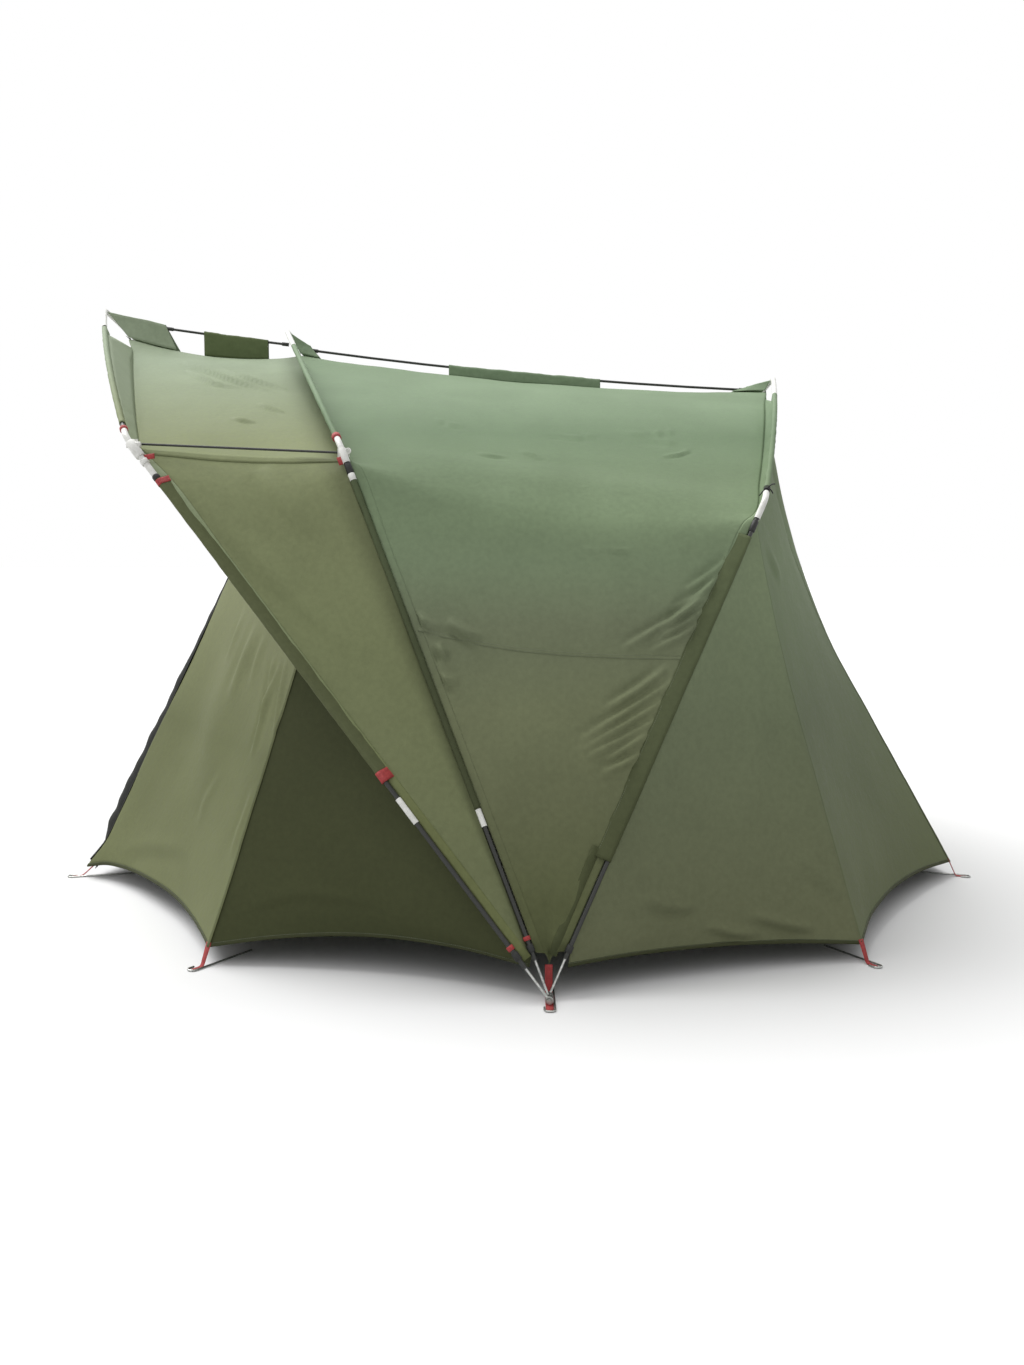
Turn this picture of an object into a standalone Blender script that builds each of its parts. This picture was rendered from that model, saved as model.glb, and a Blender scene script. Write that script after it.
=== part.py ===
"""Three-hoop fishing bivvy, pitched with its porch out. Metres, +Z up, X to the rear, Y across."""

import math
from collections import namedtuple

import bmesh
import bpy
import numpy as np
from mathutils import Matrix, Vector

# Pivots: the three hoops turn on one bolt at each side, along Y
PIVOT_X = 0.063
HALF_WIDTH = 1.55
FOOT_STEP = 0.016
SHOULDER_HALF_WIDTH = 1.0945
FRONT_ELBOW_REACH = 1.668
FRONT_HUB_REACH = 2.283
MIDDLE_ELBOW_REACH = 1.374
MIDDLE_HUB_REACH = 1.904
REAR_ELBOW_REACH = 1.264
REAR_HUB_REACH = 1.747
SEAT_GAP = 0.0004
BOLT_R = 0.003
BOLT_HEAD_R = 0.006
BOLT_HEAD_DEPTH = 0.003
BOLT_END_CLEARANCE = 0.006
EYE_R = 0.0095
EYE_WIDTH = 0.008
EYE_CLEARANCE = 0.0005
STRAP_THICKNESS = 0.002
PIVOT_Z = STRAP_THICKNESS + SEAT_GAP + EYE_R

# Poles: fibreglass tubes in plastic elbows and hubs, on steel foot pins
POLE_R = 0.0055
POLE_WALL = 0.002
POLE_START = 0.085
POLE_BOW = 0.025
POLE_CELLS = 12
PIN_R = 0.0029
PIN_INSERT = 0.035
FITTING_R = 0.008
FITTING_WALL = 0.0016
FITTING_BEND = 0.02
FRONT_ELBOW_ARM = 0.13
MIDDLE_ELBOW_ARM = 0.05
REAR_ELBOW_ARM = 0.055
SLEEVE_END_GAP = 0.02
ELBOW_ROOF_ARM = 0.045
HUB_ARM = 0.26
HUB_ARM_CELLS = 4
POLE_STOP = 0.024
FERRULE_R = 0.007
FERRULE_WALL = 0.0009
FRONT_FERRULE_REACH = 0.523
FRONT_FERRULE_LENGTH = 0.07
MIDDLE_FERRULE_REACH = 0.42
MIDDLE_FERRULE_LENGTH = 0.045

# Shoulder braces: rods clipped inside a lug on each front and middle elbow
BRACE_R = 0.003
LUG_THICKNESS = 0.004
LUG_HEIGHT = 0.022
LUG_LENGTH = 0.03
BRACE_END_INSET = 0.012

# Ridge bars: rods over the canopy, with their ends in fabric gussets under the hubs
BAR_R = 0.004
BAR_CAP_R = 0.006
BAR_CAP_LENGTH = 0.022
BAR_CAP_SHOULDER = 0.001
BAR_SAG_RATE = 0.0075
BAR_CELLS = 8
FRONT_BAR_RISE = 0.036
FRONT_BAR_FORE_INSET = 0.12
MIDDLE_GUSSET_LENGTH = 0.072
REAR_BAR_FORE_RISE = 0.018
REAR_BAR_AFT_RISE = 0.008
REAR_BAR_AFT_INSET = 0.063
GUSSET_THICKNESS = 0.003
GUSSET_TOP = 0.008
GUSSET_HUB_STEP = 0.006
GUSSET_HUB_DROP = 0.004
GUSSET_SHOULDER = 0.012

# Fabric
FABRIC = 0.002
FABRIC_START = 0.1
SHOULDER_DROP = 0.045
FRONT_FIN = 0.1245
MIDDLE_FIN = 0.0895
REAR_FIN = 0.0525
FIN_OFFSET = 0.004
FIN_LIP = 0.012
HUB_CUTOUT = 0.28
CUTOUT_LIP = 0.012
CANOPY_LEG_GAP = 0.02
WALL_OFFSET = 0.002
TUNNEL_HALF_WIDTH = 0.0075
TUNNEL_WALL = 0.0012
TUNNEL_GAP = 0.0005
FRONT_TUNNEL_LENGTH = 0.21
FRONT_TUNNEL_SHARE = 0.57
REAR_TUNNEL_LENGTH = 0.5
REAR_TUNNEL_SHARE = 0.49

# Pegging points at fabric height, near side; the far side mirrors them
CORNER_HEIGHT = 0.045
FRONT_PEG_X = -1.395
REAR_PEG_X = 1.395
END_PEG_Y = 0.42
FRONT_SIDE_PEG_X = -0.804
FRONT_SIDE_PEG_Y = 1.318
REAR_SIDE_PEG_X = 0.879
REAR_SIDE_PEG_Y = 1.295
LOOP_REACH = 0.05
FRONT_END_REACH = 0.08
LOOP_SEWN = 0.012
PIVOT_CORNER_INSET = 0.05
PIVOT_CORNER_Y = HALF_WIDTH - PIVOT_CORNER_INSET
PIVOT_CORNER_Z = 0.068
WALL_CORNER_STEP = 0.045
HEM_INSET = 0.05
HEM_RISE = 0.02
REAR_HEM_INSET = 0.03
REAR_HEM_RISE = 0.012
SEAM_SAG = 0.03
REAR_SEAM_SAG = 0.087
SAG_SKEW = 0.6
DOOR_TOP_SET = 0.042

# Door: a mesh panel under a fabric header, zipped to the front wall
DOOR_TOP_HALF_WIDTH = 0.24
REAR_PANEL_TOP_HALF_WIDTH = 0.3
HEADER_ROWS = 2
DOOR_GAP = 0.0006
DOOR_SILL = 0.015
DOOR_BULGE = 0.04
DOOR_TOP_BULGE = 0.008
DOOR_BULGE_RUN = 0.05
DOOR_TAPE = 0.012
ZIP_TAPE = 0.02
SLIDER_DEPTH = 0.008
SLIDER_WIDTH = 0.014
SLIDER_HEIGHT = 0.03
SLIDER_RISE = 0.12
SLIDER_EDGE_GAP = 0.003

# Pegs: steel wire pegs laid on the ground, each with its hook round a webbing loop
PEG_R = 0.0025
PEG_HOOK_R = 0.012
PEG_LENGTH = 0.19
PEG_BARB = 0.015
LOOP_HALF_WIDTH = PEG_HOOK_R - PEG_R - SEAT_GAP
LOOP_FLAT = 0.03
PIVOT_STRAP_OUT = 0.05
STRAP_FOLD_STEP = 0.005
STRAP_FOLD_RISE = 0.012

# Cells of the cloth grids
LEG_CELLS = 6
ROOF_CELLS = 6
ACROSS_CELLS = 7
CANOPY_PULL = 14
WALL_ROWS = 8
WALL_CELLS = 5
END_CELLS = 6
DOOR_COLUMN = 2 * WALL_CELLS + 1

Hoop = namedtuple("Hoop", "name leg_lean roof_lean elbow_reach hub_reach foot_y elbow_arm fin ferrule")
FRONT = Hoop("front", math.radians(-39.2), math.radians(-38.6), FRONT_ELBOW_REACH, FRONT_HUB_REACH,
             HALF_WIDTH + FOOT_STEP, FRONT_ELBOW_ARM, FRONT_FIN,
             (FRONT_FERRULE_REACH, FRONT_FERRULE_LENGTH))
MIDDLE = Hoop("middle", math.radians(-22.1), math.radians(-25.7), MIDDLE_ELBOW_REACH,
              MIDDLE_HUB_REACH, HALF_WIDTH, MIDDLE_ELBOW_ARM, MIDDLE_FIN,
              (MIDDLE_FERRULE_REACH, MIDDLE_FERRULE_LENGTH))
REAR = Hoop("rear", math.radians(26.0), math.radians(26.5), REAR_ELBOW_REACH, REAR_HUB_REACH,
            HALF_WIDTH - FOOT_STEP, REAR_ELBOW_ARM, REAR_FIN, None)
HOOPS = (FRONT, MIDDLE, REAR)
SIDES = {"near": -1, "far": 1}

# How a sheet hangs on a hoop: its turn round the leg from straight inward, its extra gap to the leg
# (less than nothing where its edge meets the leg edge-on), its step behind the roof pole, and its
# extra depth under the roof pole's own fin
Hang = namedtuple("Hang", "leg_swing leg_gap roof_step roof_gap")


def clear_scene():
    for item in list(bpy.data.objects):
        bpy.data.objects.remove(item)


def collection(name):
    made = bpy.data.collections.new(name)
    bpy.context.scene.collection.children.link(made)
    return made


def principled(name, hex_colour, roughness, metallic=0.0):
    """A plain material from an sRGB hex colour."""
    channels = [int(hex_colour[i:i + 2], 16) / 255 for i in (0, 2, 4)]
    linear = [c / 12.92 if c <= 0.04045 else ((c + 0.055) / 1.055) ** 2.4 for c in channels]
    made = bpy.data.materials.new(name)
    made.use_nodes = True
    shader = made.node_tree.nodes["Principled BSDF"]
    shader.inputs["Base Color"].default_value = (*linear, 1)
    shader.inputs["Roughness"].default_value = roughness
    shader.inputs["Metallic"].default_value = metallic
    return made


clear_scene()
PARTS = collection("fishing_bivvy")
CUTTERS = collection("cutters")
CANOPY_GREEN = principled("coated_polyester_green", "7e8a6a", 0.6)
AWNING_GREEN = principled("coated_polyester_awning", "808763", 0.6)
WALL_GREEN = principled("coated_polyester_wall", "626a50", 0.6)
TUNNEL_GREEN = principled("coated_polyester_tunnel", "565f48", 0.65)
MESH_BLACK = principled("mosquito_mesh_black", "1c1f1a", 0.8)
POLE_BLACK = principled("fibreglass_black", "22231f", 0.4)
FITTING_WHITE = principled("moulded_plastic_white", "d9dbd4", 0.45)
PIN_STEEL = principled("zinc_plated_steel", "a9aaa5", 0.35, 0.9)
WEBBING_RED = principled("webbing_red", "a8323c", 0.8)


def add_object(name, data, material, where=PARTS):
    made = bpy.data.objects.new(name, data)
    data.materials.append(material)
    where.objects.link(made)
    return made


def shade(mesh):
    mesh.shade_smooth()
    mesh.set_sharp_from_angle(angle=math.radians(40))


def poly_curve(name, points, radius, capped, resolution):
    data = bpy.data.curves.new(name, "CURVE")
    data.dimensions = "3D"
    data.bevel_depth = radius
    data.bevel_resolution = resolution
    data.use_fill_caps = capped
    spline = data.splines.new("POLY")
    spline.points.add(len(points) - 1)
    for point, place in zip(spline.points, points):
        point.co = (*place, 1)
    return data


def rod(name, points, radius, material, where=PARTS, resolution=4):
    """A solid round rod along a path."""
    return add_object(name, poly_curve(name, points, radius, True, resolution), material, where)


def tube(name, points, radius, wall, material):
    """A hollow round tube along a path, open at both ends."""
    made = add_object(name, poly_curve(name, points, radius, False, 4), material)
    shell = made.modifiers.new("wall", "SOLIDIFY")
    shell.thickness = wall
    shell.offset = -1
    shell.use_even_offset = True
    return made


def as_mesh(curve_object, where=PARTS):
    """The same piece as a mesh with its caps welded on."""
    graph = bpy.context.evaluated_depsgraph_get()
    mesh = bpy.data.meshes.new_from_object(curve_object.evaluated_get(graph))
    welded = bmesh.new()
    welded.from_mesh(mesh)
    bmesh.ops.remove_doubles(welded, verts=welded.verts, dist=0.00001)
    welded.to_mesh(mesh)
    welded.free()
    name = curve_object.name
    matrix = curve_object.matrix_world.copy()
    bpy.data.objects.remove(curve_object)
    made = bpy.data.objects.new(name, mesh)
    made.matrix_world = matrix
    where.objects.link(made)
    return made


def as_cutter(tool):
    tool.hide_render = True
    tool.display_type = "WIRE"
    return tool


def combine(target, tool, operation):
    step = target.modifiers.new(operation.lower(), "BOOLEAN")
    step.operation = operation
    step.object = as_cutter(tool)


def lerp(a, b, t):
    return a + (b - a) * t


def mirrored(point):
    return Vector((point.x, -point.y, point.z))


def spoke(lean, reach):
    """A point in the middle plane, at a lean from upright and a reach from the pivot line."""
    return Vector((PIVOT_X + reach * math.sin(lean), 0, PIVOT_Z + reach * math.cos(lean)))


def leg_point(hoop, side, reach):
    point = spoke(hoop.leg_lean, reach)
    point.y = side * lerp(hoop.foot_y, SHOULDER_HALF_WIDTH, reach / hoop.elbow_reach)
    return point


def elbow_point(hoop, side):
    return leg_point(hoop, side, hoop.elbow_reach)


def hub_point(hoop):
    return spoke(hoop.roof_lean, hoop.hub_reach)


def roof_point(hoop, side, share):
    """A point on the bowed roof pole, from its elbow at 0 to its hub at 1."""
    start, end = elbow_point(hoop, side), hub_point(hoop)
    chord = (end - start).normalized()
    up = spoke(hoop.roof_lean, 1) - spoke(hoop.roof_lean, 0)
    bow = (up - chord * up.dot(chord)).normalized()
    return lerp(start, end, share) + bow * POLE_BOW * 4 * share * (1 - share)


def roof_share(hoop, distance):
    """The share of a roof pole that a distance along it takes."""
    return distance / (hub_point(hoop) - elbow_point(hoop, 1)).length


def bend_path(before, corner, after, arm_before, arm_after):
    """A straight arm, a rounded bend at the corner and a second straight arm."""
    back = (before - corner).normalized()
    on = (after - corner).normalized()
    start, end = corner + back * FITTING_BEND, corner + on * FITTING_BEND
    bend = []
    for step in range(6):
        t = step / 5
        bend.append(lerp(lerp(start, corner, t), lerp(corner, end, t), t))
    return [corner + back * arm_before, *bend, corner + on * arm_after]


def add_legs(hoop, word, side):
    top = hoop.elbow_reach - POLE_STOP
    tube(f"{hoop.name}_leg_{word}", [leg_point(hoop, side, POLE_START), leg_point(hoop, side, top)],
         POLE_R, POLE_WALL, POLE_BLACK)
    if hoop.ferrule:
        centre, length = hoop.ferrule
        ends = [leg_point(hoop, side, centre - length / 2), leg_point(hoop, side, centre + length / 2)]
        tube(f"{hoop.name}_leg_ferrule_{word}", ends, FERRULE_R, FERRULE_WALL, FITTING_WHITE)


def add_foot_pin(hoop, word, side):
    """A steel pin from inside the pole down to an eye on the pivot bolt."""
    name = f"{hoop.name}_foot_pin_{word}"
    top = leg_point(hoop, side, POLE_START + PIN_INSERT)
    foot = leg_point(hoop, side, 0)
    pin = as_mesh(rod(name, [top, foot], PIN_R, PIN_STEEL))
    across = Vector((0, EYE_WIDTH / 2, 0))
    eye = rod(name + "_eye", [foot - across, foot + across], EYE_R, PIN_STEEL, CUTTERS)
    combine(pin, as_mesh(eye, CUTTERS), "UNION")
    bore = rod(name + "_bore", [foot - across * 2, foot + across * 2],
               BOLT_R + EYE_CLEARANCE, PIN_STEEL, CUTTERS)
    combine(pin, as_mesh(bore, CUTTERS), "DIFFERENCE")


def add_roof_pole(hoop, word, side):
    first = roof_share(hoop, POLE_STOP)
    last = 1 - first
    points = [roof_point(hoop, side, lerp(first, last, i / POLE_CELLS)) for i in range(POLE_CELLS + 1)]
    tube(f"{hoop.name}_roof_pole_{word}", points, POLE_R, POLE_WALL, POLE_BLACK)


def add_elbow(hoop, word, side):
    corner = elbow_point(hoop, side)
    after = roof_point(hoop, side, roof_share(hoop, ELBOW_ROOF_ARM))
    path = bend_path(leg_point(hoop, side, 0), corner, after, hoop.elbow_arm, ELBOW_ROOF_ARM)
    name = f"{hoop.name}_elbow_{word}"
    fitting = tube(name, path, FITTING_R, FITTING_WALL, FITTING_WHITE)
    if hoop is REAR:
        return
    # The brace's lug lies on the elbow's inner side and stays clear of its bore.
    fitting = as_mesh(fitting)
    depth = LUG_THICKNESS + FITTING_WALL / 2
    mesh = bpy.data.meshes.new(name + "_lug")
    box = bmesh.new()
    bmesh.ops.create_cube(box, size=1)
    bmesh.ops.scale(box, verts=box.verts, vec=(LUG_LENGTH, depth, LUG_HEIGHT))
    box.to_mesh(mesh)
    box.free()
    lug = add_object(name + "_lug", mesh, FITTING_WHITE, CUTTERS)
    inner = SHOULDER_HALF_WIDTH - FITTING_R - LUG_THICKNESS
    lug.location = brace_end(hoop, side) + Vector((0, side * (inner + depth / 2 - brace_y()), 0))
    combine(fitting, lug, "UNION")


def brace_y():
    return SHOULDER_HALF_WIDTH - FITTING_R - LUG_THICKNESS - SEAT_GAP - BRACE_R


def brace_end(hoop, side):
    """The middle of a lug, on the leg arm just under the bend."""
    point = leg_point(hoop, side, hoop.elbow_reach - FITTING_BEND)
    return Vector((point.x, side * brace_y(), point.z))


def add_brace(word, side):
    fore, aft = brace_end(FRONT, side), brace_end(MIDDLE, side)
    along = (aft - fore).normalized() * BRACE_END_INSET
    rod(f"shoulder_brace_{word}", [fore - along, aft + along], BRACE_R, POLE_BLACK)


def add_hub(hoop):
    """A bent tube at the ridge, with arms that follow the bowed poles inside them."""
    arm = roof_share(hoop, HUB_ARM)
    near, far = [[roof_point(hoop, side, 1 - arm * i / HUB_ARM_CELLS) for i in range(HUB_ARM_CELLS, 0, -1)]
                 for side in SIDES.values()]
    bend = bend_path(near[-1], hub_point(hoop), far[-1], FITTING_BEND, FITTING_BEND)[1:-1]
    tube(f"{hoop.name}_hub", [*near, *bend, *reversed(far)], FITTING_R, FITTING_WALL, FITTING_WHITE)


def add_pivot_bolt(word, side):
    """A headed bolt along Y through the three eyes, turned from one profile."""
    half = FOOT_STEP + EYE_WIDTH / 2 + BOLT_END_CLEARANCE
    neck = half - BOLT_HEAD_DEPTH
    profile = [(0, half), (BOLT_HEAD_R, half), (BOLT_HEAD_R, neck), (BOLT_R, neck),
               (BOLT_R, -neck), (BOLT_HEAD_R, -neck), (BOLT_HEAD_R, -half), (0, -half)]
    mesh = bpy.data.meshes.new(f"pivot_bolt_{word}")
    edges = [(i, i + 1) for i in range(len(profile) - 1)]
    mesh.from_pydata([(x, 0, z) for x, z in profile], edges, [])
    bolt = add_object(f"pivot_bolt_{word}", mesh, PIN_STEEL)
    turn = bolt.modifiers.new("turn", "SCREW")
    turn.steps = turn.render_steps = 16
    turn.use_merge_vertices = True
    turn.merge_threshold = 0.00001
    bolt.rotation_euler = (math.radians(90), 0, 0)
    bolt.location = (PIVOT_X, side * HALF_WIDTH, PIVOT_Z)


def grid_mesh(name, grid, left_out=None):
    """A quad mesh over rows of points, without the cells that are left out."""
    rows, columns = len(grid), len(grid[0])
    mesh = bpy.data.meshes.new(name)
    made = bmesh.new()
    verts = [[made.verts.new(point) for point in row] for row in grid]
    for r in range(rows - 1):
        for c in range(columns - 1):
            if left_out is None or not left_out(r, c):
                made.faces.new((verts[r][c], verts[r][c + 1], verts[r + 1][c + 1], verts[r + 1][c]))
    loose = [v for v in made.verts if not v.link_faces]
    bmesh.ops.delete(made, geom=loose, context="VERTS")
    made.to_mesh(mesh)
    made.free()
    shade(mesh)
    return mesh


def sheet(name, grid, material, left_out=None):
    """A cloth panel with a real thickness either side of its middle surface."""
    made = add_object(name, grid_mesh(name, grid, left_out), material)
    shell = made.modifiers.new("cloth", "SOLIDIFY")
    shell.thickness = FABRIC
    shell.offset = 0
    shell.use_even_offset = True
    return made


def tensioned(grid, held_columns, held_rows, pull_across, rounds=400):
    """Settles the free points as cloth pulled harder across its rows than along them."""
    net = np.array([[tuple(p) for p in row] for row in grid], float)
    free = np.ones(net.shape[:2], bool)
    free[list(held_rows)] = False
    free[:, list(held_columns)] = False
    for _ in range(rounds):
        across = net[1:-1, :-2] + net[1:-1, 2:]
        along = net[:-2, 1:-1] + net[2:, 1:-1]
        target = (pull_across * across + along) / (2 * pull_across + 2)
        inner = free[1:-1, 1:-1]
        net[1:-1, 1:-1][inner] = target[inner]
    return [[Vector(p) for p in row] for row in net]


def pole_frame(point, axis, side, on_leg):
    """Inward and rearward directions square to a pole."""
    if on_leg:
        toward = Vector((0, -side, 0))
    else:
        toward = Vector((PIVOT_X, point.y, PIVOT_Z)) - point
    inward = (toward - axis * toward.dot(axis)).normalized()
    rear = axis.cross(inward).normalized()
    if rear.x < 0:
        rear.negate()
    return inward, rear


def leg_seat(hoop):
    """How far from a leg's axis a sheet's middle surface lies."""
    outer = FERRULE_R if hoop.ferrule else POLE_R
    return outer + SEAT_GAP + FABRIC / 2


def swing_toward(hoop, target):
    """The turn round a near leg, from straight inward toward the rear, that faces a point."""
    foot, top = leg_point(hoop, -1, 0), elbow_point(hoop, -1)
    axis = (top - foot).normalized()
    inward, rear = pole_frame(foot, axis, -1, True)
    toward = target - lerp(foot, top, 0.5)
    return math.atan2(toward.dot(rear), toward.dot(inward))


def fin_depth(hoop, share):
    return lerp(SHOULDER_DROP, hoop.fin, math.sin(math.pi / 2 * share))


def hoop_edge(hoop, side, hang, fin_top=False):
    """A sheet's edge along half a hoop, from the pivot corner up to the ridge."""
    points = []
    axis = (elbow_point(hoop, side) - leg_point(hoop, side, 0)).normalized()
    inward, rear = pole_frame(leg_point(hoop, side, 0), axis, side, True)
    top = hoop.elbow_reach - hoop.elbow_arm - SLEEVE_END_GAP
    outward = (inward * math.cos(hang.leg_swing) + rear * math.sin(hang.leg_swing)) * \
        (leg_seat(hoop) + hang.leg_gap)
    for i in range(LEG_CELLS + 1):
        points.append(leg_point(hoop, side, lerp(FABRIC_START, top, i / LEG_CELLS)) + outward)
    for i in range(ROOF_CELLS + 1):
        share = i / ROOF_CELLS
        base = roof_point(hoop, side, share)
        ahead = roof_point(hoop, side, min(share + 0.01, 1))
        behind = roof_point(hoop, side, share - 0.01)
        inward, rear = pole_frame(base, (ahead - behind).normalized(), side, False)
        depth = fin_depth(hoop, share) + hang.roof_gap
        if fin_top and i:
            in_cutout = abs(base.y) < HUB_CUTOUT
            depth = depth - CUTOUT_LIP if in_cutout else POLE_R + SEAT_GAP + FABRIC / 2
        if i == ROOF_CELLS:
            inward = spoke(hoop.roof_lean, 0) - spoke(hoop.roof_lean, 1)
            rear = Vector((-inward.z, 0, inward.x))
        points.append(base + inward * depth + rear * hang.roof_step)
    return points


def whole_edge(hoop, hang, fin_top=False):
    """Both halves of a hoop's edge in one run, near corner to far corner."""
    near = hoop_edge(hoop, -1, hang, fin_top)
    return near + [mirrored(p) for p in reversed(near[:-1])]


def fin_top_edge(hoop, hang, fin_foot):
    """The top of a fin. At the elbows the fin has no height of its own, only a small lip."""
    top = whole_edge(hoop, hang, fin_top=True)
    for k in (LEG_CELLS + 1, len(top) - LEG_CELLS - 2):
        top[k] = fin_foot[k] + Vector((0, 0, FIN_LIP))
    return top


def canopy_grid(fore, aft, fore_top, aft_top):
    """Rows along the hoops and columns across, with a fin at each end that has a top edge."""
    grid = []
    for k in range(len(fore)):
        grid.append([lerp(fore[k], aft[k], c / ACROSS_CELLS) for c in range(ACROSS_CELLS + 1)])
    grid = tensioned(grid, (0, ACROSS_CELLS), (0, len(fore) - 1), CANOPY_PULL)
    for k, row in enumerate(grid):
        if fore_top:
            row.insert(0, fore_top[k])
        if aft_top:
            row.append(aft_top[k])
    return grid


def corner(x, half_y, reach=LOOP_REACH):
    """A wall's corner over its peg, drawn in from the peg by the loop's reach."""
    peg = Vector((x, half_y, 0))
    centre = Vector((PIVOT_X, 0, 0))
    place = peg + (centre - peg).normalized() * reach
    place.z = CORNER_HEIGHT
    return place


FRONT_END_CORNER = corner(FRONT_PEG_X, END_PEG_Y, FRONT_END_REACH)
FRONT_SIDE_CORNER = corner(FRONT_SIDE_PEG_X, FRONT_SIDE_PEG_Y)
REAR_SIDE_CORNER = corner(REAR_SIDE_PEG_X, REAR_SIDE_PEG_Y)
REAR_END_CORNER = corner(REAR_PEG_X, END_PEG_Y)


def sided(point, side):
    return Vector((point.x, side * abs(point.y), point.z))


def hem(start, end, cells, inset=HEM_INSET, rise=HEM_RISE):
    """A hollow-cut hem between two corners, drawn in toward the pivot line and lifted."""
    middle = (start + end) / 2
    run = end - start
    square = Vector((-run.y, run.x, 0)).normalized()
    if square.dot(Vector((PIVOT_X, 0, 0)) - middle) < 0:
        square.negate()
    pull = square * inset + Vector((0, 0, rise))
    return [lerp(start, end, i / cells) + pull * 4 * (i / cells) * (1 - i / cells)
            for i in range(cells + 1)]


def resample(points, cells):
    """The same run of points in even steps of length."""
    lengths = [0.0]
    for a, b in zip(points, points[1:]):
        lengths.append(lengths[-1] + (b - a).length)
    spaced = []
    for i in range(cells + 1):
        want = lengths[-1] * i / cells
        k = max(j for j in range(len(points) - 1) if lengths[j] <= want + 1e-9)
        span = lengths[k + 1] - lengths[k]
        spaced.append(lerp(points[k], points[k + 1], min((want - lengths[k]) / span, 1)))
    return spaced


def sag_share(t):
    """How much of its sag a column has at a height, most in the upper half."""
    return 4 * t * (1 - t) * (1 + SAG_SKEW * (1 - 2 * t))


def door_share(t):
    """The set of a straight door edge: full at the header's foot and none at its ends."""
    foot = HEADER_ROWS / WALL_ROWS
    return min(t / foot, (1 - t) / (1 - foot))


def curtain(top, bottom, sag):
    """Columns of cloth from a top run to a bottom run, each column drawn inward by its own sag."""
    grid = []
    for r in range(WALL_ROWS + 1):
        t = r / WALL_ROWS
        row = []
        for c, (a, b) in enumerate(zip(top, bottom)):
            point = lerp(a, b, t)
            inner = Vector((PIVOT_X, 0, point.z)) - point
            depth, share = sag[c]
            row.append(point + inner.normalized() * depth * share(t))
        grid.append(row)
    return grid


def wall_top(edge, split):
    """A hoop's edge cut at the shoulder and at the end panel's seam, in even steps."""
    shoulder = LEG_CELLS + 1
    leg, roof = edge[:shoulder + 1], edge[shoulder:]
    for k in range(len(roof) - 1):
        if abs(roof[k].y) >= split > abs(roof[k + 1].y):
            share = (abs(roof[k].y) - split) / (abs(roof[k].y) - abs(roof[k + 1].y))
            cut = lerp(roof[k], roof[k + 1], share)
            return resample(leg, WALL_CELLS), resample(roof[:k + 1] + [cut], WALL_CELLS), \
                resample([cut] + roof[k + 1:], END_CELLS // 2)
    raise ValueError("the end panel is wider than the roof")


def half_bottom(corners, side_inset, side_rise):
    """A wall's hems on one side, from the pivot past two pegs to the middle plane."""
    first, side_corner, end_corner = corners
    middle = hem(end_corner, mirrored(end_corner), END_CELLS)[:END_CELLS // 2 + 1]
    return (hem(first, side_corner, WALL_CELLS, side_inset, side_rise),
            hem(side_corner, end_corner, WALL_CELLS), middle)


def both_sides(runs):
    """Three runs that meet end to end, and their mirror image, as one run."""
    half = runs[0] + runs[1][1:] + runs[2][1:]
    return half + [mirrored(p) for p in reversed(half[:-1])]


def wall_grid(top, bottom, end_sag, end_share=sag_share):
    seams = (0, WALL_CELLS, 2 * WALL_CELLS)
    last = len(top) - 1
    sag = [(0, sag_share)] * len(top)
    for c, pull in ((WALL_CELLS, (SEAM_SAG, sag_share)), (2 * WALL_CELLS, (end_sag, end_share))):
        sag[c] = sag[last - c] = pull
    grid = curtain(top, bottom, sag)
    held = set(seams) | {last - c for c in seams}
    return tensioned(grid, held, (0, WALL_ROWS), 1.0)


def strip(name, path, half_width, sideways, material, where, thickness=STRAP_THICKNESS):
    """A flat webbing strip along a path."""
    across = sideways.normalized() * half_width
    grid = [[p - across, p + across] for p in path]
    made = add_object(name, grid_mesh(name, grid), material, where)
    shell = made.modifiers.new("webbing", "SOLIDIFY")
    shell.thickness = thickness
    shell.offset = 0
    shell.use_even_offset = True
    return made


def peg_line(fabric_corner, side, reach=LOOP_REACH):
    """The peg's place on the ground and the outward direction of its loop."""
    start = sided(fabric_corner, side)
    outward = Vector((start.x - PIVOT_X, start.y, 0)).normalized()
    end = start + outward * reach
    end.z = 0
    return end, outward


def join_loop(wall, name, fabric_corner, side, reach):
    """A webbing loop from the wall's corner down to the ground, sewn into the wall."""
    end, outward = peg_line(fabric_corner, side, reach)
    start = sided(fabric_corner, side)
    level = Vector((0, 0, STRAP_THICKNESS / 2))
    fold = end - outward * LOOP_FLAT + level
    path = [start + (start - fold).normalized() * LOOP_SEWN, fold, end + level]
    sideways = outward.cross(Vector((0, 0, 1)))
    loop = strip(name, path, LOOP_HALF_WIDTH, sideways, WEBBING_RED, CUTTERS)
    combine(wall, loop, "UNION")


def add_peg(name, end, outward):
    """A wire peg on the ground: tip under the hem, shaft beside the loop, hook round its end."""
    sideways = outward.cross(Vector((0, 0, 1))) * math.copysign(1, end.y)
    path = [sideways * PEG_HOOK_R - outward * PEG_LENGTH]
    turns = 8
    for i in range(turns + 1):
        angle = math.pi * i / turns
        path.append((sideways * math.cos(angle) + outward * math.sin(angle)) * PEG_HOOK_R)
    path.append(path[-1] - outward * PEG_BARB)
    peg = rod(name, path, PEG_R, PIN_STEEL, resolution=2)
    peg.location = end + Vector((0, 0, PEG_R))


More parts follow.
